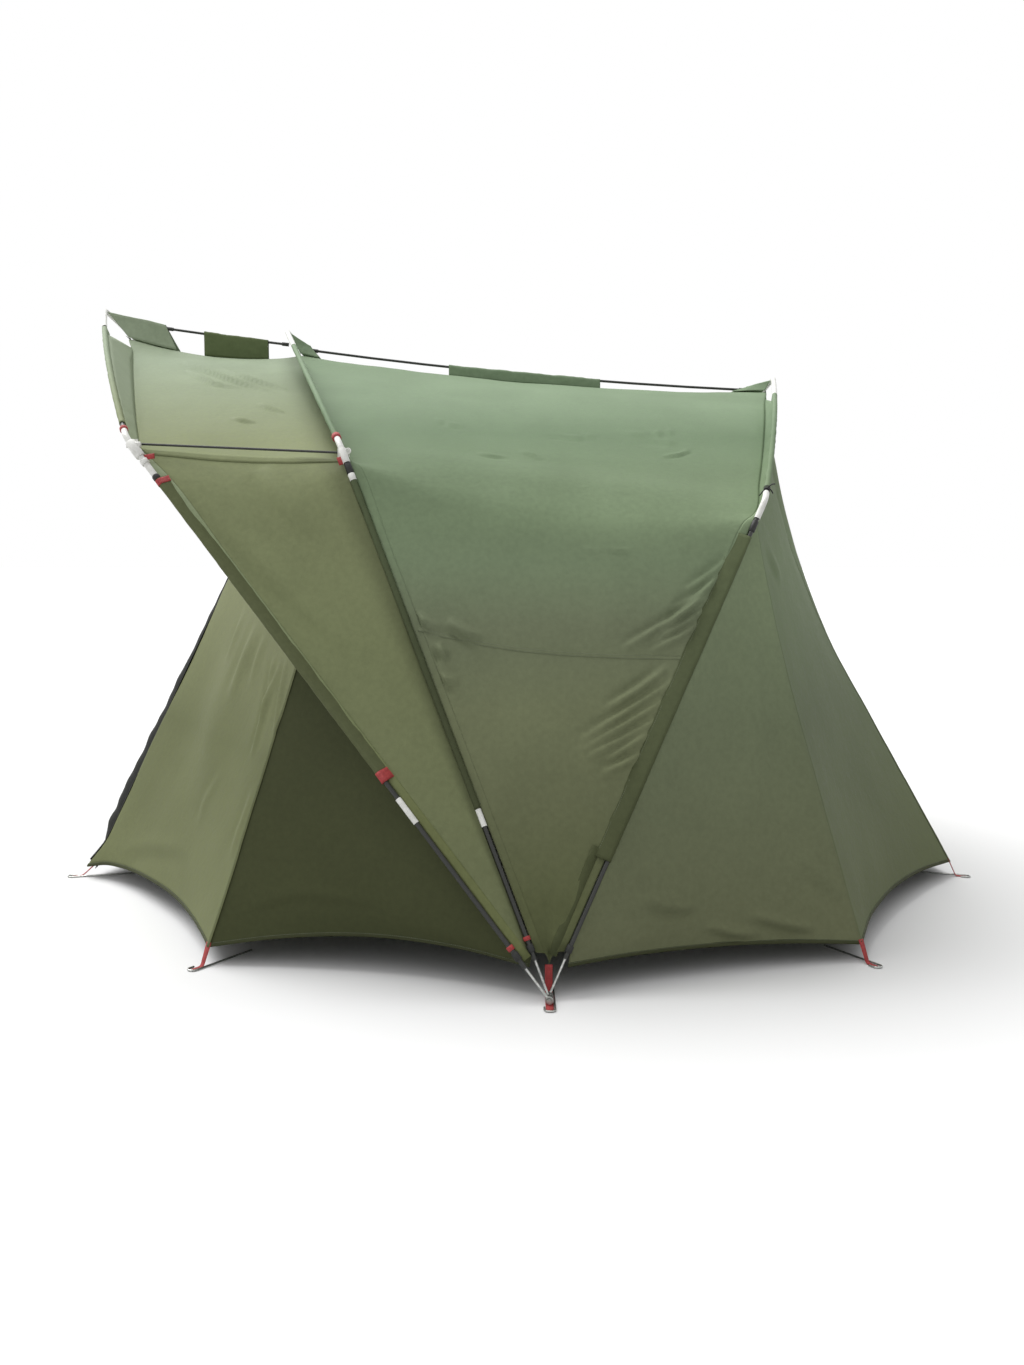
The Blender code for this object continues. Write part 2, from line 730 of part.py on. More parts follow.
def add_pivot_strap(word, side):
    """Red webbing: flat under the pivot eyes, then up to the canopy's corner."""
    level = STRAP_THICKNESS / 2
    outer = side * (HALF_WIDTH + PIVOT_STRAP_OUT)
    fold = side * (PIVOT_CORNER_Y + STRAP_FOLD_STEP)
    upright = side * PIVOT_CORNER_Y
    top = PIVOT_CORNER_Z - FABRIC / 2 - SEAT_GAP
    route = ((outer, level), (side * HALF_WIDTH, level), (fold, level),
             (upright, STRAP_FOLD_RISE), (upright, top))
    path = [Vector((PIVOT_X, y, z)) for y, z in route]
    strip(f"pivot_strap_{word}", path, LOOP_HALF_WIDTH, Vector((1, 0, 0)), WEBBING_RED, PARTS)


def gusset(name, outline, material):
    """A thin upright fabric piece in the middle plane, from its outline in X and Z."""
    mesh = bpy.data.meshes.new(name)
    made = bmesh.new()
    half = GUSSET_THICKNESS / 2
    face = made.faces.new([made.verts.new((x, -half, z)) for x, z in outline])
    pulled = bmesh.ops.extrude_face_region(made, geom=[face])
    moved = [v for v in pulled["geom"] if isinstance(v, bmesh.types.BMVert)]
    bmesh.ops.translate(made, verts=moved, vec=(0, GUSSET_THICKNESS, 0))
    bmesh.ops.recalc_face_normals(made, faces=made.faces)
    made.to_mesh(mesh)
    made.free()
    return add_object(name, mesh, material, CUTTERS)


def bar_point(fore, aft, t):
    """A point on a ridge bar, which its tunnel draws down by the square of its length."""
    return lerp(fore, aft, t) - Vector((0, 0, BAR_SAG_RATE * (aft - fore).length_squared * 4 * t * (1 - t)))


def add_bar(name, fore, aft):
    """A ridge bar with a thicker cap at each end, seated between two upright gusset edges."""
    along = (aft - fore).normalized()
    seat = along * (SEAT_GAP + BAR_CAP_R * abs(along.z))
    fore, aft = fore + seat, aft - seat
    cap = BAR_CAP_LENGTH / (aft - fore).length
    neck = cap + BAR_CAP_SHOULDER / (aft - fore).length
    thin = [lerp(neck, 1 - neck, i / BAR_CELLS) for i in range(BAR_CELLS + 1)]
    points = [bar_point(fore, aft, t) for t in (0, cap, *thin, 1 - cap, 1)]
    data = poly_curve(name, points, BAR_R, True, 4)
    wide = BAR_CAP_R / BAR_R
    for point, radius in zip(data.splines[0].points, (wide, wide, *[1] * len(thin), wide, wide)):
        point.radius = radius
    add_object(name, data, POLE_BLACK)


def height_on(line, x):
    """The height of a run of points in the middle plane at one X."""
    for a, b in zip(line, line[1:]):
        if a.x <= x <= b.x:
            return lerp(a.z, b.z, (x - a.x) / (b.x - a.x))
    raise ValueError("no ridge there")


def add_tunnel(name, fore, aft, share, length, ridge):
    """A fabric sleeve from the ridge up over the bar."""
    middle = lerp(fore, aft, share)
    rings = []
    stations = 5
    for i in range(stations):
        x = middle.x + length * (i / (stations - 1) - 0.5)
        t = (x - fore.x) / (aft.x - fore.x)
        top = bar_point(fore, aft, t).z + BAR_R + TUNNEL_WALL + 2 * SEAT_GAP
        bottom = height_on(ridge, x) + FABRIC / 2 + TUNNEL_GAP
        ring = []
        for turn, centre in ((0, top - TUNNEL_HALF_WIDTH), (math.pi, bottom + TUNNEL_HALF_WIDTH)):
            for k in range(7):
                angle = turn + math.pi * k / 6
                ring.append(Vector((x, TUNNEL_HALF_WIDTH * math.cos(angle),
                                    centre + TUNNEL_HALF_WIDTH * math.sin(angle))))
        rings.append(ring + ring[:1])
    mesh = grid_mesh(name, rings)
    welded = bmesh.new()
    welded.from_mesh(mesh)
    bmesh.ops.remove_doubles(welded, verts=welded.verts, dist=0.00001)
    bmesh.ops.recalc_face_normals(welded, faces=welded.faces)
    welded.to_mesh(mesh)
    welded.free()
    made = add_object(name, mesh, TUNNEL_GREEN)
    shell = made.modifiers.new("cloth", "SOLIDIFY")
    shell.thickness = TUNNEL_WALL
    shell.offset = -1


def main_canopy():
    """Roof and sides between the middle and rear hoops, with a fin up to each roof pole."""
    fore = whole_edge(MIDDLE, Hang(math.radians(75), CANOPY_LEG_GAP, FIN_OFFSET, 0))
    fore_top = fin_top_edge(MIDDLE, Hang(math.radians(60), 0, FIN_OFFSET, 0), fore)
    aft = whole_edge(REAR, Hang(math.radians(-75), CANOPY_LEG_GAP, -FIN_OFFSET, 0))
    aft_top = fin_top_edge(REAR, Hang(math.radians(-60), 0, -FIN_OFFSET, 0), aft)
    return canopy_grid(fore, aft, fore_top, aft_top)


def awning():
    """Porch roof and cheeks between the front and middle hoops."""
    fore = whole_edge(FRONT, Hang(math.radians(60), CANOPY_LEG_GAP, FIN_OFFSET, 0))
    fore_top = fin_top_edge(FRONT, Hang(math.radians(45), 0, FIN_OFFSET, 0), fore)
    aft = whole_edge(MIDDLE, Hang(math.radians(-60), 0, FIN_OFFSET - FABRIC - SEAT_GAP, 0))
    return canopy_grid(fore, aft, fore_top, None)


def front_wall():
    """Two side panels, two wings and the door's header, hung from the middle hoop."""
    hang = Hang(math.radians(-10), WALL_OFFSET, WALL_OFFSET, FABRIC + SEAT_GAP)
    top = both_sides(wall_top(hoop_edge(MIDDLE, -1, hang), DOOR_TOP_HALF_WIDTH))
    first = Vector((PIVOT_X - WALL_CORNER_STEP, -PIVOT_CORNER_Y, PIVOT_CORNER_Z))
    corners = (first, sided(FRONT_SIDE_CORNER, -1), sided(FRONT_END_CORNER, -1))
    bottom = both_sides(half_bottom(corners, HEM_INSET, HEM_RISE))
    wall = wall_grid(top, bottom, DOOR_TOP_SET, door_share)
    return taped(wall)


def rear_wall():
    """Two side panels, two corner panels and an end panel, hung from the rear hoop."""
    # The side panel meets its leg edge-on, so half its thickness comes off the seat.
    seam_middle = lerp(elbow_point(REAR, -1), sided(REAR_SIDE_CORNER, -1), 0.5)
    hang = Hang(swing_toward(REAR, seam_middle), -FABRIC / 2, -WALL_OFFSET, FABRIC + SEAT_GAP)
    top = both_sides(wall_top(hoop_edge(REAR, -1, hang), REAR_PANEL_TOP_HALF_WIDTH))
    first = Vector((PIVOT_X + WALL_CORNER_STEP, -PIVOT_CORNER_Y, PIVOT_CORNER_Z))
    corners = (first, sided(REAR_SIDE_CORNER, -1), sided(REAR_END_CORNER, -1))
    bottom = both_sides(half_bottom(corners, REAR_HEM_INSET, REAR_HEM_RISE))
    return wall_grid(top, bottom, REAR_SEAM_SAG)


def taped(wall):
    """Adds a column for the zip tape beside each door edge, level with the door's own plane."""
    near, far = 2 * WALL_CELLS, 2 * WALL_CELLS + END_CELLS
    edge = (wall[HEADER_ROWS][near] - wall[-1][near]).normalized()
    sill = wall[-1][near] - wall[-1][far]
    outer = (sill - edge * sill.dot(edge)).normalized() * ZIP_TAPE
    # The top row stays on the hoop's own line.
    top_outer = (wall[0][near - 1] - wall[0][near]).normalized() * ZIP_TAPE
    rows = []
    for r, row in enumerate(wall):
        step = outer if r else top_outer
        rows.append([*row[:near], row[near] + step, *row[near:far + 1], row[far] + mirrored(step),
                     *row[far + 1:]])
    return rows


def in_doorway(row, column):
    return row >= HEADER_ROWS and DOOR_COLUMN <= column < DOOR_COLUMN + END_CELLS


def door_grid(wall):
    """The mesh door: the wall's own door cells, drawn in by a gap and bulged forward."""
    near_foot, near_top = wall[-1][DOOR_COLUMN], wall[HEADER_ROWS][DOOR_COLUMN]
    across = (wall[-1][DOOR_COLUMN + END_CELLS] - near_foot).normalized()
    forward = (near_top - near_foot).cross(across).normalized()
    grid = []
    last = len(wall) - 1 - HEADER_ROWS
    row_height = (near_top - near_foot).length / last
    for r, row in enumerate(wall[HEADER_ROWS:]):
        cells = row[DOOR_COLUMN:DOOR_COLUMN + END_CELLS + 1]
        out = forward * lerp(DOOR_TOP_BULGE, DOOR_BULGE, min(r / last * 2, 1))
        inset = across * DOOR_GAP
        flat = inset + across * DOOR_TAPE
        run = across * DOOR_BULGE_RUN
        grid.append([cells[0] + inset, cells[0] + flat, cells[0] + run + out,
                     *[p + out for p in cells[1:-1]],
                     cells[-1] - run + out, cells[-1] - flat, cells[-1] - inset])
    for end, beside, gap in ((0, 1, FABRIC / 2 + DOOR_GAP), (-1, -2, DOOR_SILL)):
        grid[end] = [lerp(p, q, gap / row_height) for p, q in zip(grid[end], grid[beside])]
    return grid


def add_zip_slider(wall):
    """A slider on the zip tape of the far door edge."""
    column = DOOR_COLUMN + END_CELLS
    foot, top = wall[-1][column], wall[HEADER_ROWS][column]
    along = (top - foot).normalized()
    outer = (wall[-1][column + 1] - foot).normalized()
    forward = outer.cross(along)
    place = foot + along * SLIDER_RISE + outer * (SLIDER_WIDTH / 2 + SLIDER_EDGE_GAP)
    place += forward * (FABRIC / 2 + SEAT_GAP + SLIDER_DEPTH / 2)
    mesh = bpy.data.meshes.new("door_zip_slider")
    box = bmesh.new()
    bmesh.ops.create_cube(box, size=1)
    bmesh.ops.scale(box, verts=box.verts, vec=(SLIDER_DEPTH, SLIDER_WIDTH, SLIDER_HEIGHT))
    box.to_mesh(mesh)
    box.free()
    slider = add_object("door_zip_slider", mesh, PIN_STEEL)
    turned = Matrix((forward, along.cross(forward), along)).transposed()
    slider.matrix_world = Matrix.Translation(place) @ turned.to_4x4()


def hang_on(axis_name, place, turn, pieces):
    """Parents moving pieces to an empty on their joint's axis, and leaves them where they are."""
    axis = bpy.data.objects.new(axis_name, None)
    axis.matrix_world = Matrix.Translation(place) @ turn
    PARTS.objects.link(axis)
    for piece in pieces:
        piece.parent = axis
        piece.matrix_parent_inverse = axis.matrix_world.inverted()


def door_hinge(wall):
    """The foot of the door's near edge, on its outer face, and a turn that lays Z along it."""
    foot, top = wall[-1][DOOR_COLUMN], wall[HEADER_ROWS][DOOR_COLUMN]
    across = wall[-1][DOOR_COLUMN + END_CELLS] - foot
    outer_face = (top - foot).cross(across).normalized() * (FABRIC / 2 + SEAT_GAP)
    return foot + outer_face, (top - foot).to_track_quat("Z", "Y").to_matrix().to_4x4()


def build():
    for hoop in HOOPS:
        for word, side in SIDES.items():
            add_legs(hoop, word, side)
            add_foot_pin(hoop, word, side)
            add_roof_pole(hoop, word, side)
            add_elbow(hoop, word, side)
        add_hub(hoop)
    hoop_pieces = [piece for piece in PARTS.objects if piece.name.startswith("front_")]
    hang_on("front_hoop_axis", Vector((PIVOT_X, 0, PIVOT_Z)), Matrix(), hoop_pieces)
    for word, side in SIDES.items():
        add_brace(word, side)
        add_pivot_bolt(word, side)
        add_pivot_strap(word, side)

    canopy_rows = main_canopy()
    awning_rows = awning()
    middle_row = len(canopy_rows) // 2
    tip_row(canopy_rows)
    canopy = sheet("main_canopy", canopy_rows, CANOPY_GREEN)
    porch = sheet("awning", awning_rows, AWNING_GREEN)
    canopy_ridge, awning_ridge = canopy_rows[middle_row], awning_rows[middle_row]
    add_ridge(canopy, porch, canopy_ridge, awning_ridge)

    front_rows = front_wall()
    front = sheet("front_wall", front_rows, WALL_GREEN, in_doorway)
    rear = sheet("rear_wall", rear_wall(), WALL_GREEN)
    door = sheet("mesh_door", door_grid(front_rows), MESH_BLACK)
    hang_on("door_axis", *door_hinge(front_rows), [door])
    add_zip_slider(front_rows)

    pegged = ((front, "front_end", FRONT_END_CORNER, FRONT_END_REACH),
              (front, "front_side", FRONT_SIDE_CORNER, LOOP_REACH),
              (rear, "rear_side", REAR_SIDE_CORNER, LOOP_REACH),
              (rear, "rear_end", REAR_END_CORNER, LOOP_REACH))
    for wall, place, fabric_corner, reach in pegged:
        for word, side in SIDES.items():
            join_loop(wall, f"{place}_loop_{word}", fabric_corner, side, reach)
            add_peg(f"{place}_peg_{word}", *peg_line(fabric_corner, side, reach))
    for word, side in SIDES.items():
        end = Vector((PIVOT_X, side * (HALF_WIDTH + PIVOT_STRAP_OUT), 0))
        add_peg(f"pivot_peg_{word}", end, Vector((0, side, 0)))


def tip_row(rows):
    """Draws the canopy's two bottom hems down to the pivot corners."""
    for row, side in ((rows[0], -1), (rows[-1], 1)):
        last = len(row) - 1
        tip = Vector((PIVOT_X, side * PIVOT_CORNER_Y, PIVOT_CORNER_Z))
        for c in range(1, last):
            pull = 1 - abs(2 * c / last - 1)
            row[c] = lerp(row[c], tip, pull)


def add_ridge(canopy, porch, canopy_ridge, awning_ridge):
    """Ridge bars, the gussets that hold their ends, and the two tunnels."""
    front_base, middle_base, rear_base = awning_ridge[1], canopy_ridge[1], canopy_ridge[-2]
    hub_under = FITTING_R + SEAT_GAP + GUSSET_HUB_DROP
    front_fore = Vector((front_base.x + FRONT_BAR_FORE_INSET, 0, front_base.z + FRONT_BAR_RISE))
    middle_hub = hub_point(MIDDLE)
    split_x = middle_hub.x + GUSSET_HUB_STEP
    front_aft = Vector((split_x, 0, middle_base.z + FRONT_BAR_RISE))
    rear_fore = Vector((split_x + MIDDLE_GUSSET_LENGTH, 0, middle_base.z + REAR_BAR_FORE_RISE))
    rear_aft = Vector((rear_base.x - REAR_BAR_AFT_INSET, 0, rear_base.z + REAR_BAR_AFT_RISE))
    add_bar("front_ridge_bar", front_fore, front_aft)
    add_bar("rear_ridge_bar", rear_fore, rear_aft)

    sink = FABRIC / 4
    hub = hub_point(FRONT)
    edge_x = front_fore.x
    outline = [(hub.x + GUSSET_HUB_STEP, hub.z - hub_under), (edge_x, front_fore.z + GUSSET_TOP),
               (edge_x, height_on(awning_ridge[1:], edge_x) - sink),
               (front_base.x + sink, front_base.z - sink)]
    combine(porch, gusset("front_gusset", outline, AWNING_GREEN), "UNION")
    aft_x = rear_fore.x
    outline = [(split_x, middle_hub.z - hub_under), (aft_x, rear_fore.z + GUSSET_TOP),
               (aft_x, height_on(canopy_ridge[1:-1], aft_x) - sink),
               (middle_base.x + sink, middle_base.z - sink), (split_x, middle_base.z + GUSSET_SHOULDER)]
    combine(canopy, gusset("middle_gusset", outline, CANOPY_GREEN), "UNION")
    hub = hub_point(REAR)
    edge_x = rear_aft.x
    outline = [(edge_x, rear_aft.z + GUSSET_TOP), (hub.x - GUSSET_HUB_STEP, hub.z - hub_under),
               (rear_base.x - sink, rear_base.z - sink),
               (edge_x, height_on(canopy_ridge[1:-1], edge_x) - sink)]
    combine(canopy, gusset("rear_gusset", outline, CANOPY_GREEN), "UNION")

    add_tunnel("front_ridge_tunnel", front_fore, front_aft, FRONT_TUNNEL_SHARE, FRONT_TUNNEL_LENGTH,
               awning_ridge[1:])
    add_tunnel("rear_ridge_tunnel", rear_fore, rear_aft, REAR_TUNNEL_SHARE, REAR_TUNNEL_LENGTH,
               canopy_ridge[1:-1])


build()
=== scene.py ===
"""Fishing bivvy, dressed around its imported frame. Metres, +Z up, X to the rear, near side at -Y."""

import math
from collections import namedtuple

import bpy
import numpy as np
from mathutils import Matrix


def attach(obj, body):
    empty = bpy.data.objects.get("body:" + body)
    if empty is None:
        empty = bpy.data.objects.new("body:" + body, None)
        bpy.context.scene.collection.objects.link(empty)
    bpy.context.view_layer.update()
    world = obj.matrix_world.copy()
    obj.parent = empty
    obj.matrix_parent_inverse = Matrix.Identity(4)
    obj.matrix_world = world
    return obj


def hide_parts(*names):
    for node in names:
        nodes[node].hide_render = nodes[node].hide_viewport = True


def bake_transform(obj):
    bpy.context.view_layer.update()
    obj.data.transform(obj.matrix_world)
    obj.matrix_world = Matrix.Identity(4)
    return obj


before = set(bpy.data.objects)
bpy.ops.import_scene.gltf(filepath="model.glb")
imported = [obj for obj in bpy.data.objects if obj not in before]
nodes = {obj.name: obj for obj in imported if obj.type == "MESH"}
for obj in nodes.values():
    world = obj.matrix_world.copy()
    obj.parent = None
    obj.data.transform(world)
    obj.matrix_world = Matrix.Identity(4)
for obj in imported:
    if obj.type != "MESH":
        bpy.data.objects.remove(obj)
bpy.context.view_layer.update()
WORDS = ("near", "far")

# Camera. It stands at chest height beside the shelter and looks down a little, with the whole
# shelter in an upright frame.
CAMERA_PLACE = (-0.0219, -4.4804, 1.0567)
CAMERA_TILT = 6.275
LENS = 35.06
LENS_GATE = 36.0

view = bpy.data.cameras.new("side_view")
view.lens = LENS
view.sensor_width = LENS_GATE
camera = bpy.data.objects.new("side_view", view)
camera.location = CAMERA_PLACE
camera.rotation_euler = (math.radians(90 - CAMERA_TILT), 0, 0)
bpy.context.scene.collection.objects.link(camera)
bpy.context.scene.camera = camera

# Hoop poles, ridge bars and shoulder braces. Pultruded fibreglass: glass strands drawn through
# black resin, ground round, so a satin black with fine paler flecks of glass.
FIBRE_BLACK = "161715"
FIBRE_FLECK = "2d2f2a"
FLECK_SIZE = 0.0022
NOISE_SPAN = {"From Min": 0.3, "From Max": 0.7}


def linear(hex_colour):
    """An sRGB hex colour as linear RGBA."""
    channels = [int(hex_colour[i:i + 2], 16) / 255 for i in (0, 2, 4)]
    return (*[c / 12.92 if c <= 0.04045 else ((c + 0.055) / 1.055) ** 2.4 for c in channels], 1)


def add_node(tree, kind, sockets=None, **settings):
    """Adds a node. A socket takes a value, or a pair of an earlier node and its output."""
    made = tree.nodes.new(kind)
    for name, value in settings.items():
        setattr(made, name, value)
    for name, value in (sockets or {}).items():
        if isinstance(value, tuple) and isinstance(value[0], bpy.types.Node):
            tree.links.new(value[0].outputs[value[1]], made.inputs[name])
        else:
            made.inputs[name].default_value = value
    return made


def join(tree, source, output, target, socket):
    tree.links.new(source.outputs[output], target.inputs[socket])


def finish(name, dark, light, grain, rough, metallic=0.0, relief=0.0):
    """A finish that wanders between two colours and two roughnesses over a grain size."""
    made = bpy.data.materials.new(name)
    made.use_nodes = True
    tree = made.node_tree
    shader = tree.nodes["Principled BSDF"]
    shader.inputs["Metallic"].default_value = metallic
    place = add_node(tree, "ShaderNodeTexCoord")
    cloud = add_node(tree, "ShaderNodeTexNoise", {"Vector": (place, "Object"), "Scale": 1 / grain,
                                                  "Detail": 5.0, "Roughness": 0.6})
    spread = add_node(tree, "ShaderNodeMapRange", {"Value": (cloud, "Fac"), **NOISE_SPAN})
    tint = add_node(tree, "ShaderNodeMix", {0: (spread, "Result"), 6: linear(dark), 7: linear(light)},
                    data_type="RGBA")
    gloss = add_node(tree, "ShaderNodeMapRange", {"Value": (cloud, "Fac"), **NOISE_SPAN,
                                                  "To Min": rough[0], "To Max": rough[1]})
    join(tree, tint, 2, shader, "Base Color")
    join(tree, gloss, "Result", shader, "Roughness")
    if relief:
        bump = add_node(tree, "ShaderNodeBump", {"Height": (cloud, "Fac"), "Distance": relief,
                                                 "Strength": 0.6})
        join(tree, bump, "Normal", shader, "Normal")
    return made


def refinish(node_names, material):
    """Gives CAD nodes a finish in place of their plain one."""
    for name in node_names:
        mesh = nodes[name].data
        mesh.materials.clear()
        mesh.materials.append(material)


HOOP_WORDS = ("front", "middle", "rear")
pole_finish = finish("pultruded_fibreglass", FIBRE_BLACK, FIBRE_FLECK, FLECK_SIZE, (0.3, 0.48),
                     relief=0.0002)
refinish([f"{hoop}_{piece}_{word}" for hoop in HOOP_WORDS for piece in ("leg", "roof_pole")
          for word in WORDS], pole_finish)
refinish(["front_ridge_bar", "rear_ridge_bar"] + [f"shoulder_brace_{word}" for word in WORDS],
         pole_finish)

# Elbows, hubs and ferrules. Injection-moulded nylon in its natural off-white, a little glossy,
# with faint flow marks and handling dirt. A front elbow has a lug for its brace, and a middle
# elbow a moulded eye.
NYLON_LIGHT = "f0f0ec"
NYLON_DULL = "dadad4"
PIVOT_X = 0.063
PIVOT_Z = 0.0119
HALF_WIDTH = 1.55
FOOT_STEP = 0.016
SHOULDER_HALF_WIDTH = 1.0945
POLE_R = 0.0055
POLE_BOW = 0.025
FERRULE_R = 0.007
FITTING_R = 0.008
FITTING_GRIP = 0.0002
LUG_R = 0.0105
LUG_DROP = 0.03
LUG_STEPS = np.array([0, 0.004, 0.012, 0.019, 0.021])
LUG_RADII = (LUG_R, LUG_R, LUG_R * 0.8, 0.0075, 0.006)
FRONT_RINGS = ((0.042, 0.0125, 0.05), (0.085, 0.0108, 0.014))
MIDDLE_RINGS = ((0.088, POLE_R, 0.0088, 0.02), (0.03, FITTING_R - FITTING_GRIP, 0.0096, 0.04))
EYE_BORE = 0.005
EYE_WIRE = 0.0018
EYE_DROP = 0.022

Hoop = namedtuple("Hoop", "leg_lean roof_lean elbow_reach hub_reach foot_y elbow_arm fin seat")
FRONT = Hoop(math.radians(-39.2), math.radians(-38.6), 1.668, 2.283, HALF_WIDTH + FOOT_STEP,
             0.13, 0.1245, FERRULE_R)
MIDDLE = Hoop(math.radians(-22.1), math.radians(-25.7), 1.374, 1.904, HALF_WIDTH,
              0.05, 0.0895, FERRULE_R)
REAR = Hoop(math.radians(26.0), math.radians(26.5), 1.264, 1.747, HALF_WIDTH - FOOT_STEP,
            0.055, 0.0525, POLE_R)


def lerp(a, b, t):
    return a + (b - a) * t


def unit(vectors):
    return vectors / np.maximum(np.linalg.norm(vectors, axis=-1, keepdims=True), 1e-12)


def run_length(path):
    """Each point's distance along a path."""
    return np.concatenate([[0], np.cumsum(np.linalg.norm(np.diff(path, axis=0), axis=-1))])


def spoke(lean, reach):
    """A point in the middle plane, at a lean from upright and a reach from the pivot line."""
    return np.array([PIVOT_X + reach * math.sin(lean), 0.0, PIVOT_Z + reach * math.cos(lean)])


def leg_point(hoop, reach):
    point = spoke(hoop.leg_lean, reach)
    point[1] = -lerp(hoop.foot_y, SHOULDER_HALF_WIDTH, reach / hoop.elbow_reach)
    return point


def roof_point(hoop, share):
    """A point on the bowed near roof pole, from its elbow at 0 to its hub at 1."""
    start, end = leg_point(hoop, hoop.elbow_reach), spoke(hoop.roof_lean, hoop.hub_reach)
    chord = unit(end - start)
    up = spoke(hoop.roof_lean, 1) - spoke(hoop.roof_lean, 0)
    bow = unit(up - chord * (up @ chord))
    return lerp(start, end, share) + bow * POLE_BOW * 4 * share * (1 - share)


def pole_frame(hoop, share=None):
    """A near pole's axis, and the inward and rearward directions square to it."""
    if share is None:
        axis = unit(leg_point(hoop, 1) - leg_point(hoop, 0))
        toward = np.array([0.0, 1.0, 0.0])
    elif share == 1:
        inward = spoke(hoop.roof_lean, 0) - spoke(hoop.roof_lean, 1)
        return np.array([0.0, 1.0, 0.0]), inward, np.array([-inward[2], 0.0, inward[0]])
    else:
        base = roof_point(hoop, share)
        axis = unit(roof_point(hoop, min(share + 0.01, 1)) - roof_point(hoop, share - 0.01))
        toward = np.array([PIVOT_X, base[1], PIVOT_Z]) - base
    inward = unit(toward - axis * (toward @ axis))
    rear = unit(np.cross(axis, inward))
    return axis, inward, rear * math.copysign(1, rear[0])


def skin(rings, ring_closed=False):
    """Points, faces and a metre UV of a skin over rings of points, capped or closed to a loop."""
    rows, columns = rings.shape[:2]
    index = np.arange(rows * columns).reshape(rows, columns)
    wrapped = np.concatenate([index, index[:, :1]], 1)
    if ring_closed:
        wrapped = np.concatenate([wrapped, wrapped[:1]], 0)
    quads = np.stack([wrapped[:-1, :-1], wrapped[:-1, 1:], wrapped[1:, 1:], wrapped[1:, :-1]], -1)
    quads = quads.reshape(-1, 4)
    points = rings.reshape(-1, 3)
    faces = quads.tolist()
    caps = [] if ring_closed else [index[0, ::-1], index[-1]]
    middle = points.mean(0)
    a, b, c, d = (points[quads[:, k]] - middle for k in range(4))
    volume = np.sum(a * (np.cross(b, c) + np.cross(c, d)))
    for cap in caps:
        fan = points[cap] - middle
        volume += np.sum(fan[0] * np.cross(fan[1:-1], fan[2:]))
        faces.append(cap.tolist())
    if volume < 0:
        faces = [face[::-1] for face in faces]
    uv = np.stack(np.meshgrid(run_length(rings.mean(0)), run_length(rings.mean(1))), -1)
    return points, faces, uv.reshape(-1, 2)


def solid(name, parts, material, body):
    """One object from several skins, riding on a body where one is given."""
    start = np.cumsum([0] + [len(points) for points, _, _ in parts])
    points = np.concatenate([part[0] for part in parts])
    faces = [[v + int(s) for v in face] for s, part in zip(start, parts) for face in part[1]]
    uv = np.concatenate([part[2] for part in parts])
    mesh = bpy.data.meshes.new(name)
    mesh.from_pydata(points.tolist(), [], faces)
    layer = mesh.uv_layers.new(name="lay")
    corners = np.zeros(len(mesh.loops), np.int32)
    mesh.loops.foreach_get("vertex_index", corners)
    layer.data.foreach_set("uv", uv[corners].astype(np.float32).ravel())
    mesh.materials.append(material)
    mesh.shade_smooth()
    made = bpy.data.objects.new(name, mesh)
    bpy.context.scene.collection.objects.link(made)
    if body:
        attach(made, body)
    return made


def mirrored(part):
    points, faces, uv = part
    return points * (1, -1, 1), [face[::-1] for face in faces], uv


def pair(name, parts, material, body):
    """The near object and its mirror image on the far side."""
    return [solid(f"{name}_near", parts, material, body),
            solid(f"{name}_far", [mirrored(part) for part in parts], material, body)]


def ring_about(centre, axis, section, turns=28):
    """A ring of revolution about an axis, from its section of (radius, height) points."""
    side = unit(np.cross(axis, (0.3, 0.8, 0.52)))
    up = np.cross(axis, side)
    angles = np.linspace(0, 2 * math.pi, turns, endpoint=False)
    out = np.cos(angles)[:, None] * side + np.sin(angles)[:, None] * up
    return skin(np.stack([centre + out * r + np.asarray(axis) * h for r, h in section], 1), True)


def collar(centre, axis, bore, outer, length):
    """A short tube with broken edges."""
    half, edge = length / 2, min(outer - bore, length) * 0.3
    return ring_about(centre, axis, [(bore, -half), (outer - edge, -half), (outer, edge - half),
                                     (outer, half - edge), (outer - edge, half), (bore, half)])


def spindle(path, radii, turns=24):
    """A round rod along a path, with a radius at each point."""
    path = np.asarray(path, float)
    along = unit(np.gradient(path, axis=0))
    side = unit(np.cross(along, (0.21, 0.37, 0.9)))
    up = np.cross(along, side)
    angles = np.linspace(0, 2 * math.pi, turns, endpoint=False)[None, :, None]
    out = np.cos(angles) * side[:, None] + np.sin(angles) * up[:, None]
    return skin(path[:, None] + out * np.asarray(radii)[:, None, None])


nylon_finish = finish("moulded_nylon", NYLON_DULL, NYLON_LIGHT, 0.02, (0.34, 0.5), relief=0.0002)
refinish([f"{hoop}_elbow_{word}" for hoop in HOOP_WORDS for word in WORDS]
         + [f"{hoop}_hub" for hoop in HOOP_WORDS]
         + [f"{hoop}_leg_ferrule_{word}" for hoop in ("front", "middle") for word in WORDS],
         nylon_finish)

front_elbow = leg_point(FRONT, FRONT.elbow_reach)
middle_elbow = leg_point(MIDDLE, MIDDLE.elbow_reach)
brace_run = unit(middle_elbow - front_elbow)
leg_axis = pole_frame(FRONT)[0]
lug_foot = front_elbow - leg_axis * LUG_DROP
lug_way = unit(brace_run - leg_axis * (brace_run @ leg_axis) * 0.4)
barrel = [collar(front_elbow - leg_axis * drop, leg_axis, FITTING_R - FITTING_GRIP, outer, length)
          for drop, outer, length in FRONT_RINGS]
barrel.append(spindle(lug_foot + lug_way * LUG_STEPS[:, None], LUG_RADII))
pair("front_elbow_lug", barrel, nylon_finish, "front_hoop")

